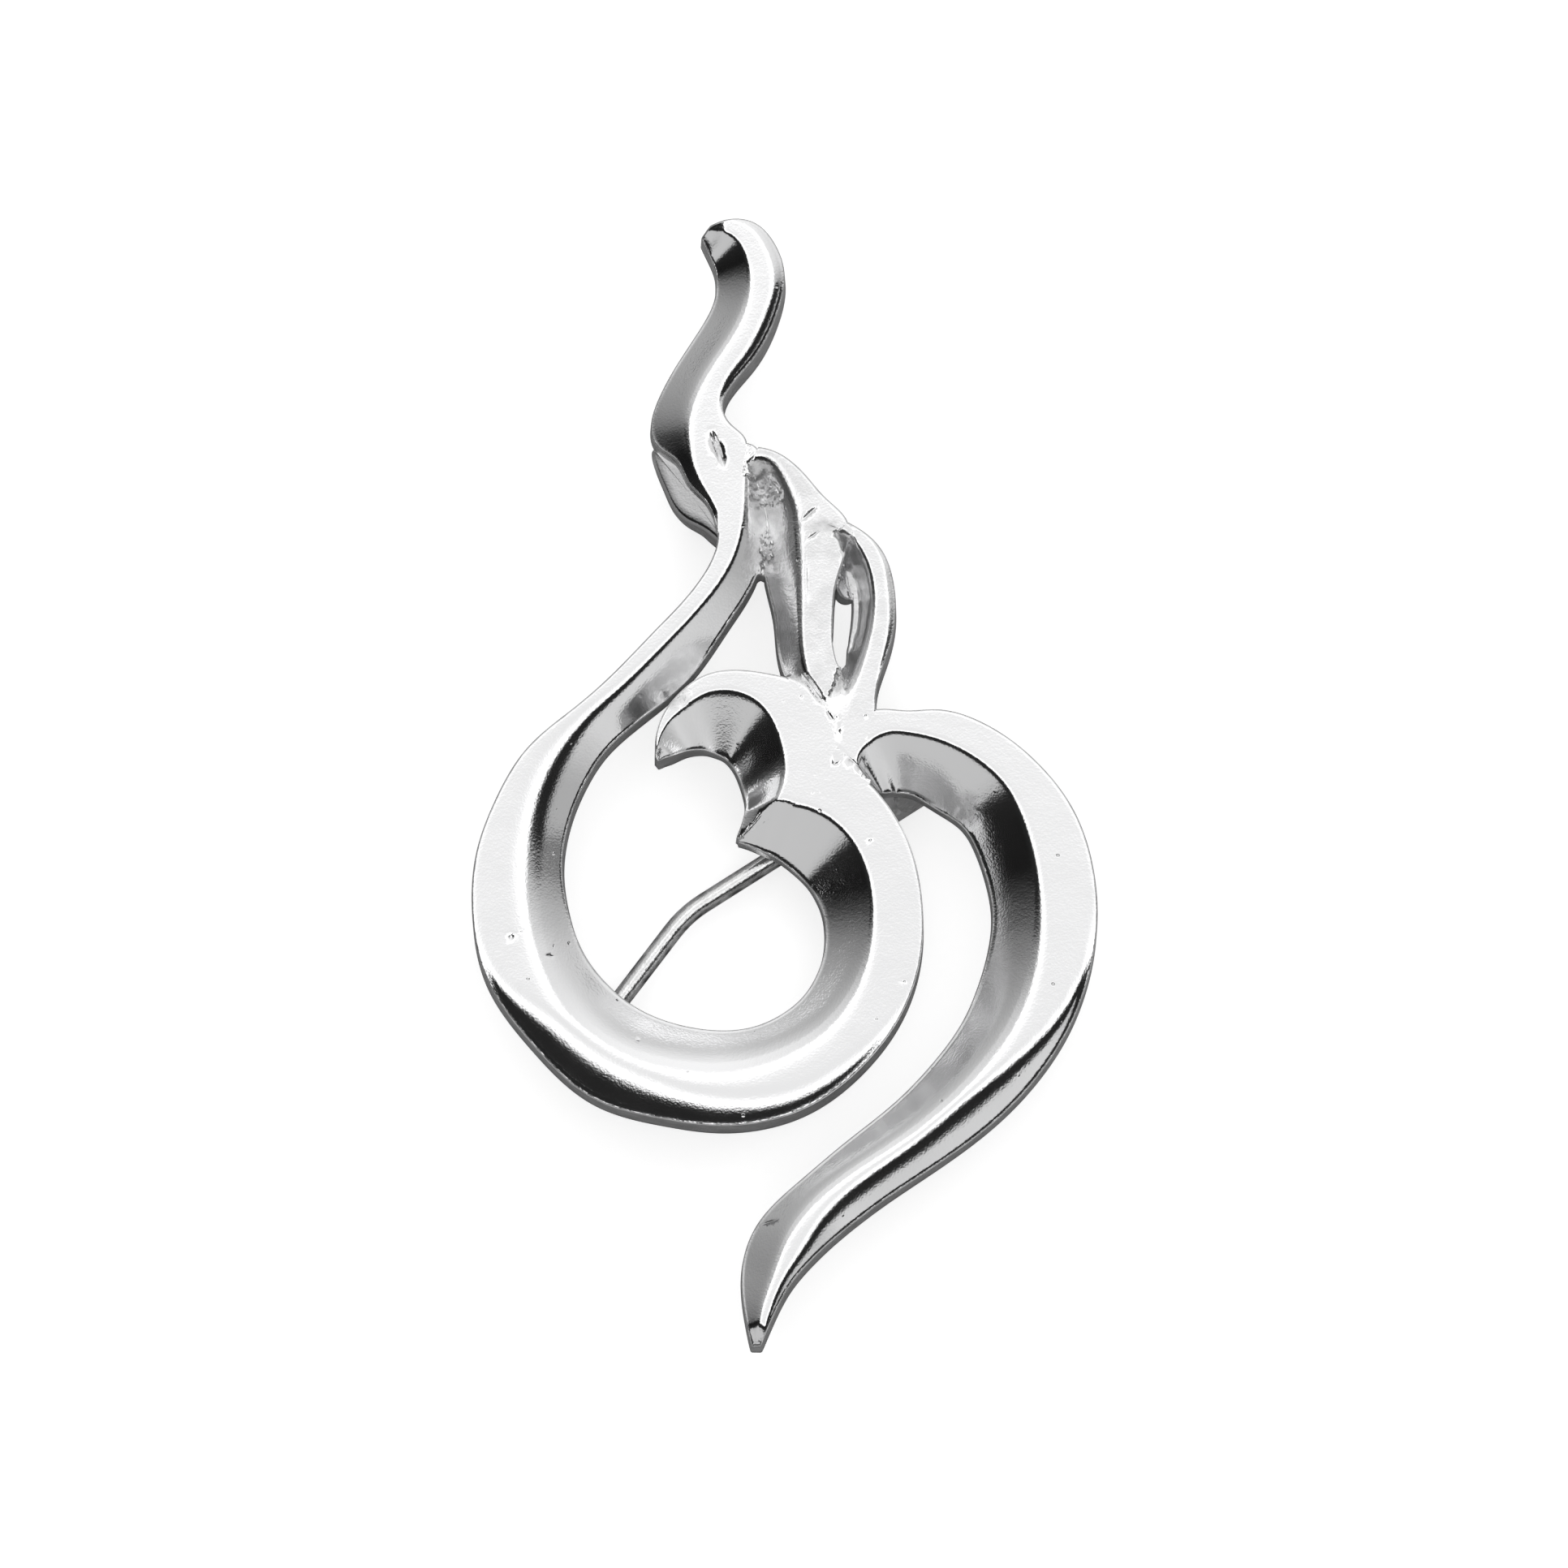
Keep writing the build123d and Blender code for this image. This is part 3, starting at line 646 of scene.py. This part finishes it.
def paint(piece, name, values):
    """Keeps one number for each of a piece's points, for its material to read."""
    layer = piece.data.attributes.new(name, "FLOAT", "POINT")
    layer.data.foreach_set("value", np.asarray(values, np.float32))


rim_pairs = outline_edges(top)
rim_ids, rim_pairs = np.unique(rim_pairs, return_inverse=True)
rim_pairs = rim_pairs.reshape(-1, 2)
rim_count = len(rim_ids)
rim_flat = flat[rim_ids]
all_outline, all_insets = np.vstack(outlines), np.concatenate(insets)
nearest = [np.linalg.norm(all_outline - point, axis=1).argmin() for point in rim_flat]
scale = all_insets[nearest] / inset
scale = even_out(scale[:, None], rim_pairs, 4)[:, 0]
a, b = rim_pairs.T
along = rim_flat[b] - rim_flat[a]
outward = np.stack([along[:, 1], -along[:, 0]], 1)
rim_normal = np.zeros((rim_count, 2))
np.add.at(rim_normal, a, outward)
np.add.at(rim_normal, b, outward)
rim_normal = unit(even_out(unit(rim_normal), rim_pairs, 3))

# The rings of the wall from the top down: how far out each one lies and how high, in millimetres.
round_turns = np.radians([18, 36, 54, 72, 90])
wall_shares = (0.35, 0.7, 1.0)
rim_top = front + height[rim_ids]
wall_top = rim_top - edge_round * scale
wall_foot = back + edge_round
rings = []
for turn in round_turns:
    rings.append((edge_round * sin(turn), rim_top - edge_round * scale * (1 - cos(turn))))
for share in wall_shares:
    rings.append((edge_round + wall_draft * share, wall_top + (wall_foot - wall_top) * share))
for turn in round_turns[1::2]:
    level = back + edge_round * (1 - sin(turn))
    rings.append((wall_draft + edge_round * cos(turn), np.full(rim_count, level)))
rings.append((wall_draft, np.full(rim_count, back)))

layers = [np.column_stack([flat, front + height])]
for out, level in rings:
    layers.append(np.column_stack([rim_flat + rim_normal * (out * scale)[:, None], level]))
back_flat = np.column_stack([flat, np.full(len(flat), back)])
back_flat[rim_ids] = layers[-1]
inner_ids = np.setdiff1d(np.arange(len(flat)), rim_ids)
layers.append(back_flat[inner_ids])
points = np.vstack(layers)

top_count = len(flat)
ring_base = [rim_ids] + [top_count + rim_count * k + np.arange(rim_count) for k in range(len(rings))]
walls = []
for over, under in zip(ring_base[:-1], ring_base[1:]):
    walls.append(np.stack([over[a], under[a], under[b]], 1))
    walls.append(np.stack([over[a], under[b], over[b]], 1))
back_ids = np.empty(top_count, int)
back_ids[rim_ids] = ring_base[-1]
back_ids[inner_ids] = top_count + rim_count * len(rings) + np.arange(len(inner_ids))
bottom = back_ids[top][:, ::-1]
casting = make_piece("casting", points, np.vstack([top] + walls + [bottom]))
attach(casting, "root")
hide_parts("scroll_body")


def inner_part(points, line):
    """1 on a strand's scoop, rising from 0 at its crest over a tenth of its width, and 0 elsewhere."""
    _, share = locate(points, line["crest"], line["inner"])
    return np.clip(np.nan_to_num(share) / 0.1, 0, 1)


def outer_part(points, line):
    """1 on a strand's band outside its crest and 0 elsewhere."""
    _, share = locate(points, line["crest"], line["outer"])
    return np.where(np.isfinite(share), 1.0, 0.0)


# How much each point is left as cast: the back, less so the walls, the web, the stems' inner faces and the
# rough patches. The stems' bands keep a little of it, as grain. On the walls it is partly real cast metal
# and partly painted shade: their darker colour stands in for the shaded floor that they reflect.
wall_cast_and_shade, back_cast, web_cast, face_cast = 0.45, 0.6, 0.35, 0.42
band_casts = {"stem": 0.2, "side": 0.1}
web_start, face_start = -0.4, -0.15
painted = web_cast * (inside_outline(flat, web_line) & (height < web_start))
for name, band_cast in band_casts.items():
    painted = np.maximum(painted, face_cast * inner_part(flat, strands[name]) * (height < face_start))
    painted = np.maximum(painted, band_cast * outer_part(flat, strands[name]))
for patch in rough_patches:
    painted = np.maximum(painted, patch[-1] * patch_share(flat, patch))
cast_and_shade = np.full(len(points), back_cast)
cast_and_shade[:top_count] = painted
# painted shade on the walls, as well as their cast finish
cast_and_shade[top_count:top_count + rim_count * len(rings)] = wall_cast_and_shade
paint(casting, "cast_and_shade", cast_and_shade)


def feed(tree, node, **values):
    """Feeds a node's inputs with numbers, colours or sockets. An input is named with underscores for its
    spaces, or by an underscore and its number."""
    for name, value in values.items():
        socket = node.inputs[int(name[1:])] if name[0] == "_" else node.inputs[name.replace("_", " ")]
        if isinstance(value, bpy.types.NodeSocket):
            tree.links.new(value, socket)
        else:
            socket.default_value = value


def add_node(tree, kind, settings=(), **values):
    """A shader node with its settings and its inputs."""
    node = tree.nodes.new("ShaderNode" + kind)
    for name, value in dict(settings).items():
        setattr(node, name, value)
    feed(tree, node, **values)
    return node


def maths(tree, operation, *values):
    """One Math node."""
    numbered = {f"_{place}": value for place, value in enumerate(values)}
    return add_node(tree, "Math", {"operation": operation}, **numbered).outputs[0]


def times(tree, first, second):
    """Two values multiplied."""
    return maths(tree, "MULTIPLY", first, second)


def plus(tree, first, second):
    """Two values added."""
    return maths(tree, "ADD", first, second)


def faded(tree, value, low, high, first=0.0, last=1.0):
    """A value turned into a smooth step between two limits."""
    limits = {"From_Min": low, "From_Max": high, "To_Min": first, "To_Max": last}
    node = add_node(tree, "MapRange", {"interpolation_type": "SMOOTHSTEP"}, Value=value, **limits)
    return node.outputs["Result"]


def noise(tree, place, scale, detail=2.0):
    """Noise about zero, from about -0.5 to 0.5."""
    node = add_node(tree, "TexNoise", Vector=place, Scale=scale, Detail=detail)
    return maths(tree, "SUBTRACT", node.outputs["Fac"], 0.5)


def group(name, inputs, outputs):
    """An empty node group with its inputs, which may have starting values, and its outputs. It comes with
    the sockets that its inputs come out of and with the node that takes its outputs."""
    tree = bpy.data.node_groups.new(name, "ShaderNodeTree")
    for label, kind, value in inputs:
        socket = tree.interface.new_socket(label, in_out="INPUT", socket_type=kind)
        if value is not None:
            socket.default_value = value
    for label in outputs:
        tree.interface.new_socket(label, in_out="OUTPUT", socket_type="NodeSocketFloat")
    return tree, tree.nodes.new("NodeGroupInput").outputs, tree.nodes.new("NodeGroupOutput")


# The skin of polished silver: height in millimetres from fine grain, a slow swell, pits and scratches, and
# a mask of the pits. A scale counts the features in a metre, and a pair of limits is where a mask fades in.
a_number, a_place = "NodeSocketFloat", "NodeSocketVector"
grain_scale, middling_scale, swell_scale = 9000.0, 3300.0, 420.0
pit_scale, pit_spread_scale = 1100.0, 900.0
pit_width, pit_spread = (0.05, 0.14), (0.06, 0.12)
scratch_turn, scratch_scale = (0, 0, radians(35)), (500, 9000, 500)
scratch_spread = (0.66, 0.72)
skin_inputs = [
    ("Place", a_place, None),
    ("Grain", a_number, 0.004),
    ("Swell", a_number, 0.02),
    ("Pits", a_number, 0.02),
    ("Scratches", a_number, 0.0004),
]
skin, given, skin_end = group("silver_skin", skin_inputs, ["Height", "Pitted"])
middling = times(skin, noise(skin, given["Place"], middling_scale), 0.6)
fine = plus(skin, noise(skin, given["Place"], grain_scale), middling)
grain = times(skin, fine, given["Grain"])
swell = times(skin, noise(skin, given["Place"], swell_scale, 1.0), given["Swell"])
cells = add_node(skin, "TexVoronoi", Vector=given["Place"], Scale=pit_scale)
rare = faded(skin, noise(skin, given["Place"], pit_spread_scale), *pit_spread)
pitted = times(skin, faded(skin, cells.outputs["Distance"], *pit_width, 1.0, 0.0), rare)
pits = times(skin, pitted, given["Pits"])
brushed = add_node(skin, "Mapping", Vector=given["Place"], Rotation=scratch_turn, Scale=scratch_scale)
streaks = add_node(skin, "TexNoise", Vector=brushed.outputs[0], Scale=1.0, Detail=1.0)
scratched = faded(skin, streaks.outputs["Fac"], *scratch_spread)
scratches = times(skin, scratched, given["Scratches"])
raised, cut_in = plus(skin, grain, swell), plus(skin, pits, scratches)
feed(skin, skin_end, Height=maths(skin, "SUBTRACT", raised, cut_in), Pitted=pitted)

# Metal left as cast or soldered: coarse lumps in millimetres of height, and a mask of its dark stain. Times
# the amount, that mask also carries the painted shade given to the walls and to the wire's sides.
lump_scale, stain_scale = 2200.0, 900.0
stain_spread = (-0.12, 0.16)
crust_inputs = [("Place", a_place, None), ("Amount", a_number, 1.0), ("Depth", a_number, 0.03)]
crust, given, crust_end = group("cast_crust", crust_inputs, ["Height", "Stain"])
coarse = times(crust, noise(crust, given["Place"], lump_scale, 4.0), given["Depth"])
stain = faded(crust, noise(crust, given["Place"], stain_scale, 4.0), *stain_spread)
crust_height, crust_stain = (times(crust, part, given["Amount"]) for part in (coarse, stain))
feed(crust, crust_end, Height=crust_height, Stain=crust_stain)

cast_coarseness = 2.5
pit_darkness = 0.7
uneven_scale, uneven_roughness = 500.0, 0.06
least_cast = 0.1


def silver(name, bright, stain_and_shade_colour, matte, grain, depth=0.03, polish_and_highlight=None, roughness=(0.11, 0.34)):
    """Metal with a polish that turns darker, rougher and crusted where the attribute painted on its points
    says so; on the walls the darker colour is partly painted shade. Where two heights in millimetres are
    given instead, it turns from cast to bright from the lower to the upper, so that the top is lighter:
    partly real wear, and partly a painted highlight on top and painted shade lower down. Metal left as cast
    loses the matte share of its metallic look. Roughness is that of polish and of cast metal."""
    material = bpy.data.materials.new(name)
    material.use_nodes = True
    tree = material.node_tree
    shader = tree.nodes["Principled BSDF"]
    place = add_node(tree, "TexCoord").outputs["Object"]
    # the given heights make the metal lighter towards the top: partly wear, partly a painted highlight above
    # and painted shade below
    if polish_and_highlight:
        level = add_node(tree, "SeparateXYZ", _0=place).outputs["Z"]
        amount = faded(tree, level, polish_and_highlight[0] * mm, polish_and_highlight[1] * mm, 1.0, least_cast)
    else:
        amount = add_node(tree, "Attribute", {"attribute_name": "cast_and_shade"}).outputs["Fac"]
    coarser = plus(tree, times(tree, amount, cast_coarseness * grain), grain)
    polish = add_node(tree, "Group", {"node_tree": skin}, Place=place, Grain=coarser)
    rough = add_node(tree, "Group", {"node_tree": crust}, Place=place, Amount=amount, Depth=depth)
    height = plus(tree, polish.outputs["Height"], rough.outputs["Height"])
    bump = add_node(tree, "Bump", Height=height, Distance=mm)
    in_pits = times(tree, polish.outputs["Pitted"], pit_darkness)
    # the darker colour marks real stains and pits, and also painted shade on the walls and down the wire's
    # sides
    stain_and_shade_share = maths(tree, "MAXIMUM", rough.outputs["Stain"], in_pits)
    colour = add_node(tree, "Mix", {"data_type": "RGBA"}, Factor=stain_and_shade_share, A=(*bright, 1), B=(*stain_and_shade_colour, 1))
    uneven = times(tree, noise(tree, place, uneven_scale), uneven_roughness)
    rougher = times(tree, amount, roughness[1] - roughness[0])
    lost = times(tree, amount, matte)
    feed(
        tree,
        shader,
        Normal=bump.outputs["Normal"],
        Base_Color=colour.outputs["Result"],
        Roughness=plus(tree, plus(tree, uneven, roughness[0]), rougher),
        Metallic=maths(tree, "SUBTRACT", 1.0, lost),
    )
    return material


silver_bright, silver_stain_and_shade = (0.93, 0.93, 0.935), (0.46, 0.46, 0.46)
cast_silver = silver("cast_silver", silver_bright, silver_stain_and_shade, matte=0.5, grain=0.006)
casting.data.materials.append(cast_silver)

# The leaf is the end of the neck, which curls back behind the band. It is part of the same casting, and
# stands on the surface with its narrow foot.
# across, up
leaf_outline = [
    (-0.209, 0.299), (-0.181, 0.294), (-0.149, 0.282), (-0.117, 0.260),
    (-0.088, 0.232), (-0.094, 0.209), (-0.123, 0.221), (-0.152, 0.231),
    (-0.173, 0.242), (-0.191, 0.262), (-0.206, 0.283),
]
leaf_top = front - 1.45
leaf_tilt = 0.42
leaf_fall = radians(161)
leaf_points = 96
# Rings inside its flat top, as shares of the way out from its middle.
leaf_crown = (0.35, 0.7)
# How far the worn edge of its top is drawn in and lies below it, in millimetres.
# inset, depth
leaf_rings = [
    (0.22, 0.0),
    (0.16, 0.02),
    (0.10, 0.06),
    (0.05, 0.12),
    (0.01, 0.22),
    (0.0, 0.34),
]
# Its underside narrows from the edge to the foot.
# share of the leaf, height
leaf_foot = [
    (1.0, back + 0.2),
    (0.92, back - 0.6),
    (0.75, 1.5),
    (0.6, 0.5),
    (0.55, 0.12),
    (0.5, 0.0),
]


def lofted(name, rings):
    """A closed shell through rings of as many points each, from the top down, with a fan at both ends."""
    count = len(rings[0])
    around = np.arange(count)
    after = np.roll(around, -1)
    faces = []
    for level in range(len(rings) - 1):
        a, b = level * count, (level + 1) * count
        faces.append(np.stack([a + around, b + around, b + after], 1))
        faces.append(np.stack([a + around, b + after, a + after], 1))
    last = (len(rings) - 1) * count
    hub = len(rings) * count
    faces.append(np.stack([np.full(count, hub), around, after], 1))
    faces.append(np.stack([np.full(count, hub + 1), last + after, last + around], 1))
    points = np.vstack(list(rings) + [rings[0].mean(0), rings[-1].mean(0)])
    return make_piece(name, points, np.vstack(faces))


leaf_line = anticlockwise(closed_spline(np.array(leaf_outline) * brooch_size, leaf_points))
leaf_middle = leaf_line.mean(0)
leaf_along = np.roll(leaf_line, -1, axis=0) - np.roll(leaf_line, 1, axis=0)
leaf_inward = unit(np.stack([-leaf_along[:, 1], leaf_along[:, 0]], 1))


def leaf_ring(line, depth):
    """A ring of the leaf's top: its line, at the tilted plane's height less a depth."""
    level = leaf_top - leaf_tilt * ((line - leaf_middle) @ (cos(leaf_fall), sin(leaf_fall)))
    return np.column_stack([line, level - depth])


leaf_shell = []
for share in leaf_crown:
    line = leaf_middle + (leaf_line + leaf_inward * leaf_rings[0][0] - leaf_middle) * share
    leaf_shell.append(leaf_ring(line, 0))
for drawn, depth in leaf_rings:
    leaf_shell.append(leaf_ring(leaf_line + leaf_inward * drawn, depth))
for share, level in leaf_foot:
    line = leaf_middle + (leaf_line - leaf_middle) * share
    leaf_shell.append(np.column_stack([line, np.full(leaf_points, level)]))
leaf = lofted("leaf", leaf_shell)
leaf.data.materials.append(cast_silver)
leaf_cast_below = leaf_top - 1
leaf_heights = np.array([point.co.z for point in leaf.data.vertices]) / mm
paint(leaf, "cast_and_shade", leaf_heights < leaf_cast_below)
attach(leaf, "root")

# The hinge ears are two small plates of silver, soldered to the back of the knot. They lean with the rivet,
# so that the pin's point swings down and sideways out of its catch.
hinge_place = (0.181, 0.010)
bend_place = (-0.156, -0.108)
point_place = (-0.323, -0.229)
eye_thickness = 1.15
ear_diameter = 2.5
ear_thickness = 0.7
ear_gap = 0.06
ear_bore = 0.47
weld_depth = 0.3
plate_edge = 0.07
plate_cast = 0.6
plate_near_enough = 1e-5
lean = radians(35)
ear_offset = (eye_thickness + ear_thickness) / 2 + ear_gap
wire_height = ear_offset * sin(lean) + ear_diameter / 2 * cos(lean) + ear_thickness / 2 * sin(lean)
hinge_centre, bend_centre, point_end = (
    np.array((across * brooch_width, up * brooch_height, wire_height))
    for across, up in (hinge_place, bend_place, point_place)
)
shank_run = (bend_centre - hinge_centre) / np.linalg.norm(bend_centre - hinge_centre)
point_run = (point_end - bend_centre) / np.linalg.norm(point_end - bend_centre)
rivet_axis = np.array((-shank_run[1] * cos(lean), shank_run[0] * cos(lean), sin(lean)))


def cut_plate(name, loops, middle, across_way, up_way, thickness):
    """A flat plate of silver from its outline and perhaps a hole: the outline filled with triangles, set out
    half of the thickness to both sides of its middle, with a wall along every edge that one triangle alone
    has."""
    flat, cap = filled(loops, [], plate_near_enough, lambda lines: list(lines) == [0])
    out_way = np.cross(across_way, up_way)
    level = middle + flat[:, :1] * across_way + flat[:, 1:] * up_way
    a, b = outline_edges(cap).T
    under = len(flat)
    walls = [np.stack([a, a + under, b + under], 1), np.stack([a, b + under, b], 1)]
    points = np.vstack([level + out_way * thickness / 2, level - out_way * thickness / 2])
    piece = make_piece(name, points, np.vstack([cap, cap[:, ::-1] + under] + walls))
    edge = piece.modifiers.new("worn_edges", "BEVEL")
    edge.width, edge.segments, edge.limit_method = plate_edge * mm, 2, "ANGLE"
    piece.data.materials.append(cast_silver)
    paint(piece, "cast_and_shade", np.full(len(points), plate_cast))
    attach(piece, "root")


ear_down = np.cross(rivet_axis, shank_run)
ear_radius = ear_diameter / 2
toe_round = 0.3
toe_arc = arc(ear_radius - toe_round, toe_round, 0, pi / 2, 7)
bore = ring(np.zeros(2), ear_bore, 32)
for name, side in (("hinge_ear_low", -1), ("hinge_ear_high", 1)):
    ear_middle = hinge_centre + rivet_axis * (side * ear_offset)
    heel_rise = (back + weld_depth - ear_middle[2]) / cos(lean)
    heel = np.array([(-ear_radius, -heel_rise), (ear_radius, -heel_rise)])
    ear_line = np.vstack([toe_arc, toe_arc[::-1] * (-1, 1), heel])
    cut_plate(name, (ear_line, bore), ear_middle, shank_run, ear_down, ear_thickness)

# The catch is a hook of the same silver, soldered to the back of the loop, with its mouth to one side. Its
# lip slopes along the way that the point swings out.
point_length = 2.4
wire_diameter = 1.0
point_diameter = 0.14
catch_length = 1.1
catch_wall = 0.9
catch_corner = 0.6
catch_lip = 0.3
catch_clearance = 0.1
catch_from_point = 1.6
catch_centre = point_end - point_run * catch_from_point
mouth_way = np.array((-point_run[1], point_run[0], 0))
up_way = np.array((0, 0, 1.0))
point_flare = (wire_diameter - point_diameter) / 2 / point_length
catch_radius = point_diameter / 2 + point_flare * (catch_from_point + catch_length / 2) + catch_clearance
catch_top = back + weld_depth - wire_height
catch_width = catch_radius + catch_wall + catch_lip
left_edge = catch_lip - catch_width
ramp_top = np.array((-catch_radius * cos(lean), -catch_radius * sin(lean)))
ramp_fall = wire_height + ramp_top[1]
ramp_foot = np.array((ramp_top[0] + ramp_fall * tan(lean), -wire_height))
corner_centre = np.array((left_edge + catch_corner, catch_corner - wire_height))
corner = arc(corner_centre, catch_corner, pi, 1.5 * pi, 9)
bay = arc(np.zeros(2), catch_radius, pi + lean, pi, 9)
catch_line = np.vstack([[(left_edge, catch_top)], corner, [ramp_foot], bay, [(-catch_radius, catch_top)]])
cut_plate("catch", (catch_line,), catch_centre, mouth_way, up_way, catch_length)

# The rivet and the pin are hard wire. They are painted lighter towards the top and darker down the sides:
# partly real wear, where rubbing has worn the pin bright along its top and left its sides rough, and partly
# a painted highlight along the top and painted shade down the sides.
wire_bright, wire_stain_and_shade = (0.86, 0.86, 0.86), (0.16, 0.16, 0.16)
wire_roughness = (0.14, 0.46)
# painted highlight on top and painted shade lower down, by height, besides real wear
worn_and_lit_heights = {"hinge_rivet": (0.0, 2.4), "pin_stem": (wire_height + 0.22, wire_height + 0.42)}
for name, heights in worn_and_lit_heights.items():
    wire = silver(name, wire_bright, wire_stain_and_shade, 0.3, 0.012, 0.10, heights, wire_roughness)
    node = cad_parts[name]
    node.data.materials.clear()
    node.data.materials.append(wire)

# The studio: a pale floor, a white tent overhead and darker surroundings low down, which the silver shows.
# The floor throws less light on the silver than the camera sees in it.
floor_reach = 3000.0
floor_grey, floor_seen = (0.30, 0.30, 0.30, 1), (0.72, 0.72, 0.72, 1)
floor_glow = 0.72
floor_corners = floor_reach * np.array([(-1, -1, 0), (1, -1, 0), (1, 1, 0), (-1, 1, 0)])
floor = make_piece("floor", floor_corners, np.array([(0, 1, 2, 3)]))
floor_paint = bpy.data.materials.new("pale_floor")
floor_paint.use_nodes = True
floor_tree = floor_paint.node_tree
seen = add_node(floor_tree, "LightPath").outputs["Is Camera Ray"]
paper = add_node(floor_tree, "Mix", {"data_type": "RGBA"}, Factor=seen, A=floor_grey, B=floor_seen)
feed(
    floor_tree,
    floor_tree.nodes["Principled BSDF"],
    Base_Color=paper.outputs["Result"],
    Emission_Strength=times(floor_tree, seen, floor_glow),
    Emission_Color=(1, 1, 1, 1),
    Roughness=0.8,
)
floor.data.materials.append(floor_paint)

# Light by direction: a low ring, a middle ring above it and the tent's top, which blend into each other
# between two heights, as shares of straight up. Degrees run anticlockwise from the right.
# degrees, light
low_lights = [
    (0, 0.54), (3, 0.30), (5, 0.06), (7, 0.28), (11, 0.46), (16, 0.54), (30, 0.76), (47, 0.80), (67, 0.76),
    (82, 0.76), (93, 0.78), (107, 0.64), (121, 0.55), (140, 0.48), (156, 0.34), (165, 0.22), (173, 0.06),
    (180, 0.01), (203, 0.02), (208, 0.05), (212, 0.60), (221, 0.70), (270, 0.72), (304, 0.76), (322, 0.88),
    (333, 0.70), (343, 0.54), (357, 0.54),
]
middle_lights = [
    (0, 0.02), (8, 0.02), (12, 0.55), (28, 0.95), (60, 1.15), (85, 1.25), (100, 1.20), (126, 0.95),
    (145, 0.75), (160, 0.35), (170, 0.02),
]
low_end, middle_end, tent_end = (0.44, 0.52), (0.82, 0.89), (0.94, 0.999)
tent_lights = (1.6, 1.08)
behind_heights, behind_gain = (0.05, 0.42), 0.45
seen_light = 0.85

world = bpy.data.worlds.new("studio")
bpy.context.scene.world = world
world.use_nodes = True
sky = world.node_tree
sky.nodes.clear()
direction = add_node(sky, "TexCoord").outputs["Generated"]
x, y, z = add_node(sky, "SeparateXYZ", _0=direction).outputs
turn = maths(sky, "DIVIDE", maths(sky, "ARCTAN2", y, x), 2 * pi)
turn_share = maths(sky, "FRACT", plus(sky, turn, 1.0))


def around(lights):
    """A colour ramp over the whole turn, read at the direction's own degrees."""
    node = add_node(sky, "ValToRGB", Fac=turn_share)
    elements = node.color_ramp.elements
    while len(elements) > 1:
        elements.remove(elements[-1])
    first_light = lights[0][1]
    elements[0].position, elements[0].color = 0, (first_light,) * 3 + (1,)
    for degrees, light in lights[1:] + [(360, first_light)]:
        elements.new(degrees / 360).color = (light,) * 3 + (1,)
    return node.outputs["Color"]


overhead = faded(sky, z, *tent_end, *tent_lights)
high_light = faded(sky, z, *middle_end, around(middle_lights), overhead)
behind_share = faded(sky, z, *behind_heights, 0.0, behind_gain)
from_behind = times(sky, maths(sky, "MAXIMUM", y, 0.0), behind_share)
low_light = times(sky, around(low_lights), plus(sky, 1.0, from_behind))
light = faded(sky, z, *low_end, low_light, high_light)
is_camera = add_node(sky, "LightPath").outputs["Is Camera Ray"]
unseen_part = times(sky, light, maths(sky, "SUBTRACT", 1.0, is_camera))
seen_part = times(sky, seen_light, is_camera)
background = add_node(sky, "Background", Strength=plus(sky, unseen_part, seen_part))
add_node(sky, "OutputWorld", Surface=background.outputs[0])

# The camera looks steeply down, and its lens and shift give the brooch the size and place that it has in the
# photo.
scene = bpy.context.scene
scene.view_settings.view_transform = "Standard"
photo_pixels = 1932
pixels_per_mm = 24.17
centre_pixel = (965.0, 964.5)
camera_elevation = radians(81)
camera_distance = 0.55
sensor_width = 36.0
camera_data = bpy.data.cameras.new("camera")
camera = bpy.data.objects.new("camera", camera_data)
scene.collection.objects.link(camera)
scene.camera = camera
camera_data.sensor_width = sensor_width
camera_data.lens = camera_distance / mm * sensor_width / (photo_pixels / pixels_per_mm)
aim = Vector((0.0, 0.0, (front - casting_thickness / 2) * mm))
behind = Vector((0, -cos(camera_elevation), sin(camera_elevation)))
camera.location = aim + behind * camera_distance
camera.rotation_euler = (pi / 2 - camera_elevation, 0, 0)
camera_data.shift_x = (photo_pixels / 2 - centre_pixel[0]) / photo_pixels
camera_data.shift_y = (centre_pixel[1] - photo_pixels / 2) / photo_pixels
camera_data.clip_start, camera_data.clip_end = 0.01, 10.0
